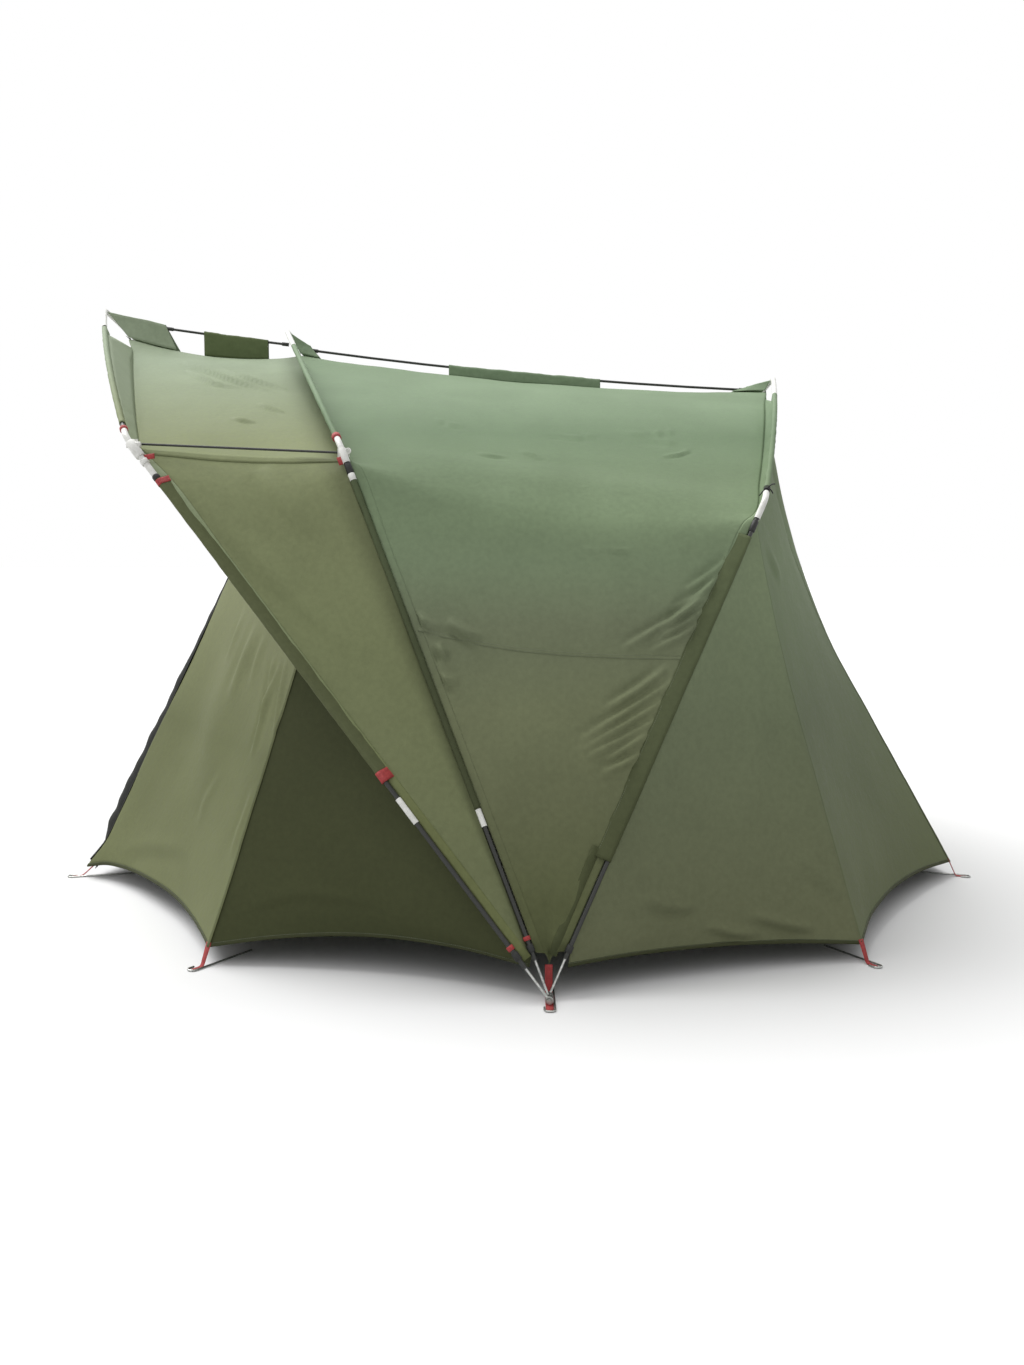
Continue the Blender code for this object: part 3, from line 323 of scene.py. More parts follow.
middle_axis, middle_inward, middle_rear = pole_frame(MIDDLE)
eye_foot = leg_point(MIDDLE, MIDDLE.elbow_reach - EYE_DROP)
eye_centre = eye_foot + middle_rear * (FITTING_R + EYE_BORE)
wire = [(EYE_BORE + EYE_WIRE * (1 + math.cos(a)), EYE_WIRE * math.sin(a))
        for a in np.linspace(0, 2 * math.pi, 8, endpoint=False)]
clips = [ring_about(eye_centre, middle_inward, wire, 20)]
clips += [collar(leg_point(MIDDLE, MIDDLE.elbow_reach - drop), middle_axis, bore, outer, length)
          for drop, bore, outer, length in MIDDLE_RINGS]
pair("middle_elbow_clip", clips, nylon_finish, "root")

# Moulded rubber, matt and a dusty black: sockets and end caps pressed over the poles' ends, each
# given by its reach up the leg, its length and its outer radius.
RUBBER_BLACK = "121312"
RUBBER_DUSTY = "242523"
SOCKETS = (("front", FRONT, "front_hoop", (1.536, 0.012, 0.0096), (0.118, 0.02, 0.0085)),
           ("middle", MIDDLE, "root", (1.31, 0.03, 0.0088), (0.112, 0.018, 0.0085)),
           ("rear", REAR, "root", (1.19, 0.03, 0.0078), (0.108, 0.018, 0.0085)))
rubber_finish = finish("moulded_rubber", RUBBER_BLACK, RUBBER_DUSTY, 0.004, (0.55, 0.72), relief=0.0002)


def cuff(hoop, reach, length, outer):
    """A ring round a leg pole."""
    return collar(leg_point(hoop, reach), pole_frame(hoop)[0], POLE_R, outer, length)


for word, hoop, body, *rings in SOCKETS:
    pair(f"{word}_socket", [cuff(hoop, *ring) for ring in rings], rubber_finish, body)

# Foot pins, pivot bolts, pegs and the zip's slider. Bright zinc plating on drawn steel wire, with
# the slightly cloudy look that plating has.
ZINC_DULL = "8e908d"
ZINC_BRIGHT = "c9cac6"
PEGGED = ("pivot", "front_end", "front_side", "rear_side", "rear_end")
zinc_finish = finish("zinc_plated_steel", ZINC_DULL, ZINC_BRIGHT, 0.006, (0.26, 0.42), metallic=1.0,
                     relief=0.0001)
refinish([f"{hoop}_foot_pin_{word}" for hoop in HOOP_WORDS for word in WORDS]
         + [f"{place}_peg_{word}" for place in PEGGED for word in WORDS]
         + [f"pivot_bolt_{word}" for word in WORDS] + ["door_zip_slider"], zinc_finish)

# Main canopy: roof and sides between the middle and rear hoops, with a fin up to each roof pole.
# Polyester taffeta with a waterproof coating, cut in panels and sewn, stretched between the hoops.
SEAT_GAP = 0.0004
FABRIC = 0.002
FABRIC_START = 0.1
SHOULDER_DROP = 0.045
SLEEVE_END_GAP = 0.02
FIN_OFFSET = 0.004
CANOPY_LEG_GAP = 0.02
PIVOT_CORNER_Y = 1.5
PIVOT_CORNER_Z = 0.068
LEG_CELLS = 6
ROOF_CELLS = 6
ACROSS_CELLS = 7
CANOPY_PULL = 14
CANOPY_SWING = math.radians(75)
SETTLING_ROUNDS = 400
WAVE_COUNT = 9
CANOPY_ROWS = (5, 6, 22, 26, 26, 20, 10, 20, 16, 8, 6, 5, 5)
CANOPY_COLUMNS = (24, 18, 12, 12, 16, 26, 26)
CLOTH = 0.0009
FOLD_DIP = 0.6
FOLD_DIP_PLACE = 1.6
BINDING_LIP = 0.0012
INSIDE = np.array([PIVOT_X, 0.0, 0.6])
Hang = namedtuple("Hang", "leg_swing leg_gap roof_step roof_gap")


def hoop_edge(hoop, hang, places=np.arange(LEG_CELLS + ROOF_CELLS + 2), roof_depth=None):
    """A sheet's edge along the near half of a hoop, from the pivot corner up to the ridge. Places
    count the leg's cells, one cell across the elbow and the roof's cells."""
    _, inward, rear = pole_frame(hoop)
    seat = hoop.seat + SEAT_GAP + FABRIC / 2 + hang.leg_gap
    off = (inward * math.cos(hang.leg_swing) + rear * math.sin(hang.leg_swing)) * seat
    top = hoop.elbow_reach - hoop.elbow_arm - SLEEVE_END_GAP
    points = []
    for place in places:
        foot = leg_point(hoop, lerp(FABRIC_START, top, min(place / LEG_CELLS, 1))) + off
        share = max(place - LEG_CELLS - 1, 0) / ROOF_CELLS
        _, inward, rear = pole_frame(hoop, share)
        depth = lerp(SHOULDER_DROP, hoop.fin, math.sin(math.pi / 2 * share)) + hang.roof_gap
        if roof_depth:
            depth = roof_depth(depth, abs(roof_point(hoop, share)[1]))
        roof = roof_point(hoop, share) + inward * depth + rear * hang.roof_step
        points.append(lerp(foot, roof, min(max(place - LEG_CELLS, 0), 1)))
    return np.array(points)


def whole(near):
    """A near half edge with its mirror image, in one run from near corner to far corner."""
    return np.concatenate([near, near[-2::-1] * (1, -1, 1)])


def settled(grid, held_columns, held_rows, pull_across):
    """Settles the free points as cloth pulled harder across its rows than along them."""
    free = np.ones(grid.shape[:2], bool)
    free[list(held_rows)] = False
    free[:, list(held_columns)] = False
    inner = free[1:-1, 1:-1]
    for _ in range(SETTLING_ROUNDS):
        across = grid[1:-1, :-2] + grid[1:-1, 2:]
        along = grid[:-2, 1:-1] + grid[2:, 1:-1]
        target = (pull_across * across + along) / (2 * pull_across + 2)
        grid[1:-1, 1:-1][inner] = target[inner]
    return grid


def spline(grid, fine, axis):
    """Smooth curves through a grid along one axis, with so many points to a cell or to each."""
    runs = np.moveaxis(grid, axis, 0)
    counts = np.broadcast_to(fine, len(runs) - 1)
    steps = np.linalg.norm(np.diff(runs, axis=0), axis=-1).reshape(len(runs) - 1, -1).mean(1)
    steps = steps[:, None, None]
    slope = np.diff(runs, axis=0) / steps
    tangent = np.concatenate([slope[:1], (slope[:-1] * steps[1:] + slope[1:] * steps[:-1])
                              / (steps[:-1] + steps[1:]), slope[-1:]])
    points = []
    for k in range(len(runs) - 1):
        a, b, reach = runs[k], runs[k + 1], steps[k]
        for t in np.arange(counts[k]) / counts[k]:
            points.append(a * (1 + 2 * t) * (1 - t) ** 2 + b * t * t * (3 - 2 * t)
                          + (tangent[k] * (1 - t) - tangent[k + 1] * t) * reach * t * (1 - t))
    points.append(runs[-1])
    return np.moveaxis(np.array(points), 0, axis)


def outward(grid):
    """A cloth's unit normals away from the shelter's inside, and the turn of its grid."""
    normal = unit(np.cross(np.gradient(grid, axis=0), np.gradient(grid, axis=1)))
    turn = np.sign(np.sum(normal * (grid - INSIDE)))
    return normal * turn, turn


def waves(points, size, seed):
    """A smooth unevenness from -1 to 1, of about one size."""
    draw = np.random.default_rng(seed)
    total = np.zeros(points.shape[:-1])
    for _ in range(WAVE_COUNT):
        way = unit(draw.normal(size=3)) * 2 * math.pi / (size * draw.uniform(0.7, 1.5))
        total += np.sin(points @ way + draw.uniform(0, 2 * math.pi))
    return total / (WAVE_COUNT / 2)


def pressed(grid, folds, evenness=((0.32, 0.002), (0.1, 0.0005)), seed=1, hold=3):
    """Raises a cloth's folds and its slight unevenness along its normals, less within so many
    columns of its side edges. A fold is a half width, a height and a run of (x, z) points, with
    a dip beside it, and dies away at both ends."""
    normal, _ = outward(grid)
    flat = grid[..., (0, 2)]
    height = sum(waves(grid, size, seed) * depth for size, depth in evenness)
    for width, rise, *run in folds:
        run = np.array(run, float)
        done = run_length(run)
        nearest = np.full(flat.shape[:2], 1e9)
        share = np.zeros(flat.shape[:2])
        for a, b, start, end in zip(run, run[1:], done, done[1:]):
            along = (b - a) / (end - start)
            t = np.clip((flat - a) @ along, 0, end - start)
            gap = flat - a - t[..., None] * along
            side = gap[..., 0] * along[1] - gap[..., 1] * along[0]
            far = np.linalg.norm(gap, axis=-1)
            closer = far < np.abs(nearest)
            nearest = np.where(closer, np.copysign(far, side), nearest)
            share = np.where(closer, (start + t) / done[-1], share)
        fade = np.sin(math.pi * share) ** 0.7
        crest = np.exp(-(nearest / width) ** 2)
        dip = np.exp(-((nearest - FOLD_DIP_PLACE * width) / width) ** 2)
        height += rise * fade * (crest - FOLD_DIP * dip)
    column = np.arange(grid.shape[1])
    held = np.clip(np.minimum(column, column[::-1]) / hold, 0, 1)
    return grid + normal * (height * held)[..., None]


def shell(grid, thickness=CLOTH):
    """A closed thin skin either side of a cloth's middle surface."""
    normal, turn = outward(grid)
    rows, columns = grid.shape[:2]
    count = rows * columns
    index = np.arange(count).reshape(rows, columns)
    quads = np.stack([index[:-1, :-1], index[:-1, 1:], index[1:, 1:], index[1:, :-1]], -1)
    quads = quads.reshape(-1, 4)
    rim = np.concatenate([index[0, :], index[1:, -1], index[-1, -2::-1], index[-2::-1, 0]])
    edge = np.stack([rim[:-1], rim[1:], rim[1:] + count, rim[:-1] + count], -1)
    if turn > 0:
        quads = quads[:, ::-1]
    else:
        edge = edge[:, ::-1]
    points = np.concatenate([grid + normal * thickness / 2, grid - normal * thickness / 2])
    across = np.concatenate([[0], np.cumsum(np.linalg.norm(np.diff(grid, axis=1), axis=-1).mean(0))])
    along = np.concatenate([[0], np.cumsum(np.linalg.norm(np.diff(grid, axis=0), axis=-1).mean(1))])
    uv = np.stack(np.meshgrid(across, along), -1).reshape(-1, 2)
    faces = np.concatenate([quads, quads[:, ::-1] + count, edge]).tolist()
    return points.reshape(-1, 3), faces, np.concatenate([uv, uv])


def band(path, up, width, thickness):
    """A flat tape along a path, its faces square to `up`. The width may change along it."""
    path = np.asarray(path, float)
    along = unit(np.gradient(path, axis=0))
    across = unit(np.cross(along, np.broadcast_to(np.asarray(up, float), path.shape)))
    up = np.cross(across, along)
    half = np.broadcast_to(width, len(path))[:, None] / 2
    edge = thickness / 2
    outline = [(-half, 0), (edge - half, edge), (0 * half, edge), (half - edge, edge),
               (half, 0), (half - edge, -edge), (0 * half, -edge), (edge - half, -edge)]
    return skin(np.stack([path + across * a + up * b for a, b in outline], 1))


def binding(edge, inner, up, width=0.011, thickness=0.0032):
    """A folded tape sewn over a cloth's edge."""
    centre = edge + unit(inner - edge) * (width / 2 - BINDING_LIP)
    return band(centre, up, width, thickness)


def resample(points, cells):
    """The same run of points in even steps of length."""
    lengths = run_length(points)
    wanted = np.linspace(0, lengths[-1], cells + 1)
    return np.stack([np.interp(wanted, lengths, column) for column in points.T], 1)


def side_run(grid, run, lift=0.0, cells=90):
    """A path on a cloth's near side over a run of (x, z) points, raised from it, and its normals."""
    normal, _ = outward(grid)
    half = len(grid) // 2 + 1
    places = resample(np.array(run, float), cells)
    for _ in range(4):
        places[1:-1] = (places[:-2] + 2 * places[1:-1] + places[2:]) / 4
    gaps = np.linalg.norm(grid[:half, :, (0, 2)] - places[:, None, None], axis=-1)
    best = gaps.reshape(len(places), -1).argmin(1)
    base, up = grid[:half].reshape(-1, 3)[best], normal[:half].reshape(-1, 3)[best]
    step = places - base[:, (0, 2)]
    y = base[:, 1] - (up[:, 0] * step[:, 0] + up[:, 2] * step[:, 1]) / up[:, 1]
    return np.stack([places[:, 0], y, places[:, 1]], 1) + up * lift, up


# Coated taffeta: a close plain weave under a thin polyurethane film, matt, with small crinkles from
# folding. Its threads are 0.25 mm apart, drawn 2.4 mm apart so that they show. The dye varies over
# patches of 0.3 m, and the film over spots of 14 mm.
THREAD = 0.0024
THREAD_RELIEF = 0.0004
FILM_ROUGH = (0.5, 0.66)
FILM_SPECULAR = 0.05
FILM_SPOT = 1 / 70
DYE_PATCH = 0.3125
DYE_DRIFT = (0.93, 1.07)
CRINKLE = 0.028
CRINKLE_RELIEF = 0.003
PAINTED_LIGHT_HEIGHT_SPAN = 2.0
PAINTED_SHADE_TONE = 0.68
WAVE_TURNS = 2 * math.pi / 20


def taffeta(name, *tones_with_painted_light, painted_shade_band=None):
    """A coated cloth, coloured through pairs of a height and a colour: painted light and shade, paler
    toward the ridge and darker and browner toward the ground, as the light from above falls. Between
    the two widths of `painted_shade_band` the colour is darkened: painted shade beside the pole it runs
    under."""
    made = bpy.data.materials.new(name)
    made.use_nodes = True
    tree = made.node_tree
    shader = tree.nodes["Principled BSDF"]
    shader.inputs["Specular IOR Level"].default_value = FILM_SPECULAR
    place = add_node(tree, "ShaderNodeTexCoord")
    dye = add_node(tree, "ShaderNodeTexNoise", {"Vector": (place, "Object"), "Scale": 1 / DYE_PATCH,
                                                "Detail": 3.0, "Distortion": 0.4})
    film = add_node(tree, "ShaderNodeTexNoise", {"Vector": (place, "Object"), "Scale": 1 / FILM_SPOT,
                                                 "Detail": 4.0})
    crumple = add_node(tree, "ShaderNodeTexNoise", {"Vector": (place, "Object"), "Scale": 1 / CRINKLE,
                                                    "Detail": 4.0, "Roughness": 0.55,
                                                    "Distortion": 0.8})
    # Painted light and shade: the colour ramps with the height, paler above and darker below.
    split = add_node(tree, "ShaderNodeSeparateXYZ", {"Vector": (place, "Object")})
    height = add_node(tree, "ShaderNodeMath", {0: (split, "Z"), 1: 1 / PAINTED_LIGHT_HEIGHT_SPAN}, operation="MULTIPLY")
    tint = add_node(tree, "ShaderNodeValToRGB", {"Fac": (height, "Value")})
    stops = tint.color_ramp.elements
    while len(stops) < len(tones_with_painted_light):
        stops.new(1.0)
    for stop, (level, colour) in zip(stops, tones_with_painted_light):
        stop.position = level / PAINTED_LIGHT_HEIGHT_SPAN
        stop.color = linear(colour)
    mixed = add_node(tree, "ShaderNodeMath", {0: (dye, "Fac"), 1: (film, "Fac")}, operation="ADD")
    spread = add_node(tree, "ShaderNodeMapRange", {
        "Value": (mixed, "Value"), "From Min": 0.75, "From Max": 1.25, "To Min": DYE_DRIFT[0],
        "To Max": DYE_DRIFT[1]})
    # Painted shade: the colour darkens between the two widths, beside the pole the cloth runs under.
    if painted_shade_band:
        lay = add_node(tree, "ShaderNodeSeparateXYZ", {"Vector": (place, "UV")})
        shade_band = add_node(tree, "ShaderNodeMapRange", {
            "Value": (lay, "X"), "From Min": painted_shade_band[0], "From Max": painted_shade_band[1], "To Min": 1.0,
            "To Max": PAINTED_SHADE_TONE}, interpolation_type="SMOOTHSTEP")
        spread = add_node(tree, "ShaderNodeMath", {0: (spread, "Result"), 1: (shade_band, "Result")},
                          operation="MULTIPLY")
    uneven_and_shaded = add_node(tree, "ShaderNodeHueSaturation", {"Color": (tint, "Color"),
                                                        "Value": (spread, 0)})
    join(tree, uneven_and_shaded, "Color", shader, "Base Color")
    gloss = add_node(tree, "ShaderNodeMapRange", {"Value": (film, "Fac"), **NOISE_SPAN,
                                                  "To Min": FILM_ROUGH[0], "To Max": FILM_ROUGH[1]})
    join(tree, gloss, "Result", shader, "Roughness")
    warp = add_node(tree, "ShaderNodeTexWave", {"Vector": (place, "UV"), "Scale": WAVE_TURNS / THREAD})
    weft = add_node(tree, "ShaderNodeTexWave", {"Vector": (place, "UV"), "Scale": WAVE_TURNS / THREAD},
                    bands_direction="Y")
    weave = add_node(tree, "ShaderNodeMath", {0: (warp, "Fac"), 1: (weft, "Fac")}, operation="MULTIPLY")
    threads = add_node(tree, "ShaderNodeBump", {"Height": (weave, "Value"), "Strength": 0.12,
                                                "Distance": THREAD_RELIEF})
    folds = add_node(tree, "ShaderNodeBump", {"Height": (crumple, "Fac"), "Strength": 0.35,
                                              "Distance": CRINKLE_RELIEF,
                                              "Normal": (threads, "Normal")})
    join(tree, folds, "Normal", shader, "Normal")
    return made


canopy_cloth = taffeta("coated_taffeta_canopy", (0.20, "606546"), (0.44, "6e7356"), (0.64, "777d5f"),
                       (0.84, "757d63"), (0.99, "7b8a6d"), (1.10, "7e8f70"), (1.21, "76876a"),
                       (1.34, "6f8266"), (1.46, "829579"))
# A darker copy of the cloth: painted shade on the middle leg sleeves; the hem tapes take the same tone.
shaded_trim_cloth = taffeta("coated_taffeta_trim", (0.2, "474b35"), (0.7, "4c523b"), (1.2, "566046"),
                     (1.6, "66725a"))
canopy_fore_hang = Hang(CANOPY_SWING, CANOPY_LEG_GAP, FIN_OFFSET, 0)
canopy_aft_hang = Hang(-CANOPY_SWING, CANOPY_LEG_GAP, -FIN_OFFSET, 0)


def between(fore, aft):
    """A sheet between two hoop edges."""
    share = np.linspace(0, 1, ACROSS_CELLS + 1)[None, :, None]
    grid = lerp(fore[:, None], aft[:, None], share)
    return settled(grid, (0, ACROSS_CELLS), (0, len(fore) - 1), CANOPY_PULL)


canopy = between(whole(hoop_edge(MIDDLE, canopy_fore_hang)), whole(hoop_edge(REAR, canopy_aft_hang)))
for row, side in ((0, -1), (-1, 1)):
    tip = np.array([PIVOT_X, side * PIVOT_CORNER_Y, PIVOT_CORNER_Z])
    pull = 1 - np.abs(2 * (np.arange(ACROSS_CELLS + 1) + 1) / (ACROSS_CELLS + 2) - 1)
    canopy[row] = lerp(canopy[row], tip, pull[:, None])
canopy = spline(spline(canopy, CANOPY_ROWS + CANOPY_ROWS[::-1], 0), CANOPY_COLUMNS, 1)
# Drag lines where the cloth is pulled to the hoops, and slack lines under the ridge, as runs of
# (x, z) points. A fold adds a half width and a height to its run.
REAR_DRAGS = (((0.534, 1.009), (0.470, 0.961), (0.409, 0.920)),
              ((0.530, 0.985), (0.440, 0.915), (0.372, 0.868)),
              ((0.492, 0.949), (0.418, 0.883), (0.336, 0.814)),
              ((0.485, 0.915), (0.362, 0.847), (0.247, 0.781)),
              ((0.470, 0.885), (0.390, 0.835), (0.320, 0.795)),
              ((0.455, 0.850), (0.385, 0.808), (0.310, 0.775)))
LOW_DRAGS = (((0.375, 0.708), (0.251, 0.633), (0.136, 0.562)),
             ((0.352, 0.664), (0.244, 0.600), (0.140, 0.543)),
             ((0.331, 0.618), (0.242, 0.570), (0.155, 0.530)),
             ((0.311, 0.586), (0.256, 0.552), (0.201, 0.523)),
             ((0.360, 0.740), (0.290, 0.690), (0.205, 0.640)),
             ((0.290, 0.540), (0.240, 0.512), (0.190, 0.492)))
FORE_DRAGS = (((-0.292, 0.880), (-0.251, 0.857), (-0.199, 0.829)),
              ((-0.290, 0.862), (-0.268, 0.847), (-0.238, 0.823)),
              ((-0.180, 0.849), (-0.139, 0.825), (-0.098, 0.806)),
              ((-0.206, 0.797), (-0.180, 0.760)),
              ((-0.245, 0.732), (-0.200, 0.715), (-0.150, 0.705)),
              ((-0.205, 0.625), (-0.160, 0.596)))
SLACK_LINES = (((-0.246, 1.387), (-0.193, 1.367), (-0.142, 1.358)),
               ((0.076, 1.336), (0.152, 1.331), (0.228, 1.340)),
               ((0.285, 1.351), (0.376, 1.350), (0.478, 1.364)),
               ((0.330, 1.328), (0.392, 1.322), (0.459, 1.325)),
               ((0.388, 1.274), (0.438, 1.281), (0.489, 1.298)),
               ((-0.112, 1.277), (-0.075, 1.269), (-0.039, 1.266)),
               ((0.005, 1.289), (0.057, 1.259)),
               ((0.150, 1.025), (0.227, 1.020), (0.300, 1.023)))
CANOPY_FOLDS = [(width, height, *run) for width, height, runs in (
    (0.0085, 0.011, REAR_DRAGS), (0.0095, 0.0115, LOW_DRAGS), (0.0105, 0.017, FORE_DRAGS),
    (0.003, 0.006, SLACK_LINES)) for run in runs]
canopy = pressed(canopy, CANOPY_FOLDS)
canopy_sheet = solid("canopy_sheet", [shell(canopy)], canopy_cloth, "root")
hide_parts("main_canopy")

# Fins: a strip of the same cloth from each roof pole down to the canopy's edge, cut away in a
# curve beside the hub, and a sleeve sewn along it that the pole slides into.
FIN_CUT_START = 0.31
FIN_CUT_END = 0.15
FIN_LIP = 0.008
FIN_SLACK = np.array([0, 0.6, 1, 1, 0.6, 0]) * 0.0012
FIN_WAVE = 0.12
SLEEVE_R = 0.0078
SLEEVE_BORE = 0.0062
SLEEVE_TAIL = 0.03
SLEEVE_HEM = 0.006
SLEEVE_TIP = 0.0006
ROOF_SLEEVE_TAIL = 0.022
ROOF_SLEEVE_END = 0.78
FIN_SWING = math.radians(60)
FIN_CELLS = len(FIN_SLACK) - 1
LegSleeve = namedtuple("LegSleeve", "hoop low high swing tail")
MIDDLE_SLEEVE = LegSleeve(MIDDLE, 0.439, 1.288, math.radians(25), 0.018)
REAR_SLEEVE = LegSleeve(REAR, 0.318, 1.16, math.radians(-82), 0.034)


def fin_top(depth, half_y):
    """How far below the roof pole a fin's top edge lies: at the pole, and cut away by the hub."""
    cut = np.clip((FIN_CUT_START - half_y) / (FIN_CUT_START - FIN_CUT_END), 0, 1)
    return lerp(POLE_R + SEAT_GAP + FABRIC / 2, depth - FIN_LIP, cut)


def fin(hoop, hang, top_swing, counts, foot):
    """A strip from a sheet's edge up to the hoop's poles, with the rows of the sheet."""
    places = np.concatenate([k + np.arange(n) / n for k, n in enumerate(counts)] + [[len(counts)]])
    top = whole(hoop_edge(hoop, hang._replace(leg_swing=top_swing, leg_gap=0), places, fin_top))
    grid = lerp(top[:, None], foot[:, None], np.linspace(0, 1, FIN_CELLS + 1)[None, :, None])
    return grid + outward(grid)[0] * (waves(grid, FIN_WAVE, 5) * FIN_SLACK)[..., None]


def sleeve(centres, tails, axes, tail, grow=0.0, seed=3):
    """A hollow cloth sleeve round a pole, drawn together to the tail that it is sewn along."""
    tails = unit(tails - axes * np.sum(tails * axes, -1, keepdims=True))
    sides = np.cross(axes, tails)
    shapes = []
    for radius, reach in ((SLEEVE_R + grow, tail + grow), (SLEEVE_BORE, tail - SLEEVE_HEM)):
        lean = math.acos(radius / reach)
        ring = [(radius * math.cos(a), radius * math.sin(a))
                for a in np.linspace(lean, 2 * math.pi - lean, 22)]
        ring += [(reach, -SLEEVE_TIP), (reach + SLEEVE_TIP, 0), (reach, SLEEVE_TIP)]
        shapes.append(np.stack([centres + tails * a + sides * b for a, b in ring], 1))
    outer, inner = shapes
    slack = 1 + 0.07 * waves(outer, 0.05, seed) + 0.03 * waves(outer, 0.018, seed + 1)
    outer = centres[:, None] + (outer - centres[:, None]) * slack[..., None]
    return skin(np.concatenate([outer, inner[::-1]]), True)


def leg_sleeve(hoop, low, high, swing, tail=SLEEVE_TAIL, grow=0.0):
    """A sleeve on a leg pole between two reaches, its tail swung from inward toward the rear."""
    axis, inward, rear = pole_frame(hoop)
    reaches = np.linspace(low, high, max(int((high - low) * 130), 5))
    centres = np.array([leg_point(hoop, reach) for reach in reaches])
    way = inward * math.cos(swing) + rear * math.sin(swing)
    return sleeve(centres, np.broadcast_to(way, centres.shape), np.broadcast_to(axis, centres.shape),
                  tail, grow)


def roof_sleeve(hoop, low):
    shares = np.linspace(low, ROOF_SLEEVE_END, 90)
    frames = [pole_frame(hoop, s) for s in shares]
    return sleeve(np.array([roof_point(hoop, s) for s in shares]), np.array([f[1] for f in frames]),
                  np.array([f[0] for f in frames]), ROOF_SLEEVE_TAIL)


middle_strip = fin(MIDDLE, canopy_fore_hang, FIN_SWING, CANOPY_ROWS, canopy[:, 0])
middle_fin = solid("middle_fin", [shell(middle_strip)], canopy_cloth, "root")
rear_strip = fin(REAR, canopy_aft_hang, -FIN_SWING, CANOPY_ROWS, canopy[:, -1])
rear_fin = solid("rear_fin", [shell(rear_strip)], canopy_cloth, "root")
middle_sleeves = pair("middle_leg_sleeve", [leg_sleeve(*MIDDLE_SLEEVE)], shaded_trim_cloth, "root")
# The rear leg sleeves take a darker copy of the cloth: painted shade beside the rear leg.
shaded_rear_sleeve_cloth = taffeta("coated_taffeta_rear_sleeve", (0.3, "50553b"), (0.7, "565d43"),
                          (1.2, "626c4e"))
rear_sleeves = pair("rear_leg_sleeve", [leg_sleeve(*REAR_SLEEVE)], shaded_rear_sleeve_cloth, "root")
middle_sleeves += pair("middle_roof_sleeve", [roof_sleeve(MIDDLE, 0.05)], canopy_cloth, "root")
rear_sleeves += pair("rear_roof_sleeve", [roof_sleeve(REAR, 0.06)], canopy_cloth, "root")

# Stitches: a lockstitch of thick polyester thread, 3.5 mm long, 5 mm apart, and a matt shade lighter
# than the cloth.
THREAD_DEEP = "5c6350"
THREAD_PALE = "79806a"
STITCH_PITCH = 0.005
STITCH_LENGTH = 0.0035
STITCH_THREAD = 0.0009


def rod_tree():
    """A node tree that sets short rods along a line, at an even pitch."""
    tree = bpy.data.node_groups.new("rods_along_line", "GeometryNodeTree")
    tree.interface.new_socket("Line", in_out="INPUT", socket_type="NodeSocketGeometry")
    for name in ("Pitch", "Length", "Width"):
        tree.interface.new_socket(name, in_out="INPUT", socket_type="NodeSocketFloat")
    tree.interface.new_socket("Finish", in_out="INPUT", socket_type="NodeSocketMaterial")
    tree.interface.new_socket("Rods", in_out="OUTPUT", socket_type="NodeSocketGeometry")
    given = add_node(tree, "NodeGroupInput")
    line = add_node(tree, "GeometryNodeMeshToCurve", {"Mesh": (given, "Line")})
    even = add_node(tree, "GeometryNodeResampleCurve", {"Curve": (line, "Curve"),
                                                        "Length": (given, "Pitch")}, mode="LENGTH")
    rod = add_node(tree, "GeometryNodeMeshCylinder", {"Vertices": 5, "Radius": 0.5, "Depth": 1.0})
    along = add_node(tree, "GeometryNodeInputTangent")
    turn = add_node(tree, "FunctionNodeAlignRotationToVector", {"Vector": (along, "Tangent")}, axis="Z")
    size = add_node(tree, "ShaderNodeCombineXYZ", {"X": (given, "Width"), "Y": (given, "Width"),
                                                   "Z": (given, "Length")})
    rods = add_node(tree, "GeometryNodeInstanceOnPoints", {
        "Points": (even, "Curve"), "Instance": (rod, "Mesh"), "Rotation": (turn, "Rotation"),
        "Scale": (size, "Vector")})
    real = add_node(tree, "GeometryNodeRealizeInstances", {"Geometry": (rods, "Instances")})
    done = add_node(tree, "GeometryNodeSetMaterial", {"Geometry": (real, "Geometry"),
                                                      "Material": (given, "Finish")})
    add_node(tree, "NodeGroupOutput", {"Rods": (done, "Geometry")})
    return tree


rods_along_line = rod_tree()


def set_along(name, lines, pitch, length, width, material, body):
    """Rods along lines, as one plain mesh."""
    edges = []
    start = 0
    for line in lines:
        edges += [(start + k, start + k + 1) for k in range(len(line) - 1)]
        start += len(line)
    mesh = bpy.data.meshes.new(name)
    mesh.from_pydata(np.concatenate(lines).tolist(), edges, [])
    made = bpy.data.objects.new(name, mesh)
    bpy.context.scene.collection.objects.link(made)
    modifier = made.modifiers.new("rods", "NODES")
    modifier.node_group = rods_along_line
    values = {"Pitch": pitch, "Length": length, "Width": width, "Finish": material}
    for item in rods_along_line.interface.items_tree:
        if item.in_out == "INPUT" and item.name in values:
            modifier[item.identifier] = values[item.name]
    graph = bpy.context.evaluated_depsgraph_get()
    plain = bpy.data.meshes.new_from_object(made.evaluated_get(graph))
    made.modifiers.clear()
    made.data = plain
    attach(made, body)
    return made


thread_finish = finish("polyester_thread", THREAD_DEEP, THREAD_PALE, 0.003, (0.6, 0.75))


def both(lines):
    """Near lines with their mirror images."""
    return [line * np.array((1, side, 1)) for line in lines for side in (1, -1)]


def along_sleeve(hoop, low, high, swing, reach):
    """The stitch line at a leg sleeve's tail."""
    _, inward, rear = pole_frame(hoop)
    way = inward * math.cos(swing) + rear * math.sin(swing)
    return np.array([leg_point(hoop, r) + way * reach - inward * 0.0012
                     for r in np.linspace(low, high, 60)])


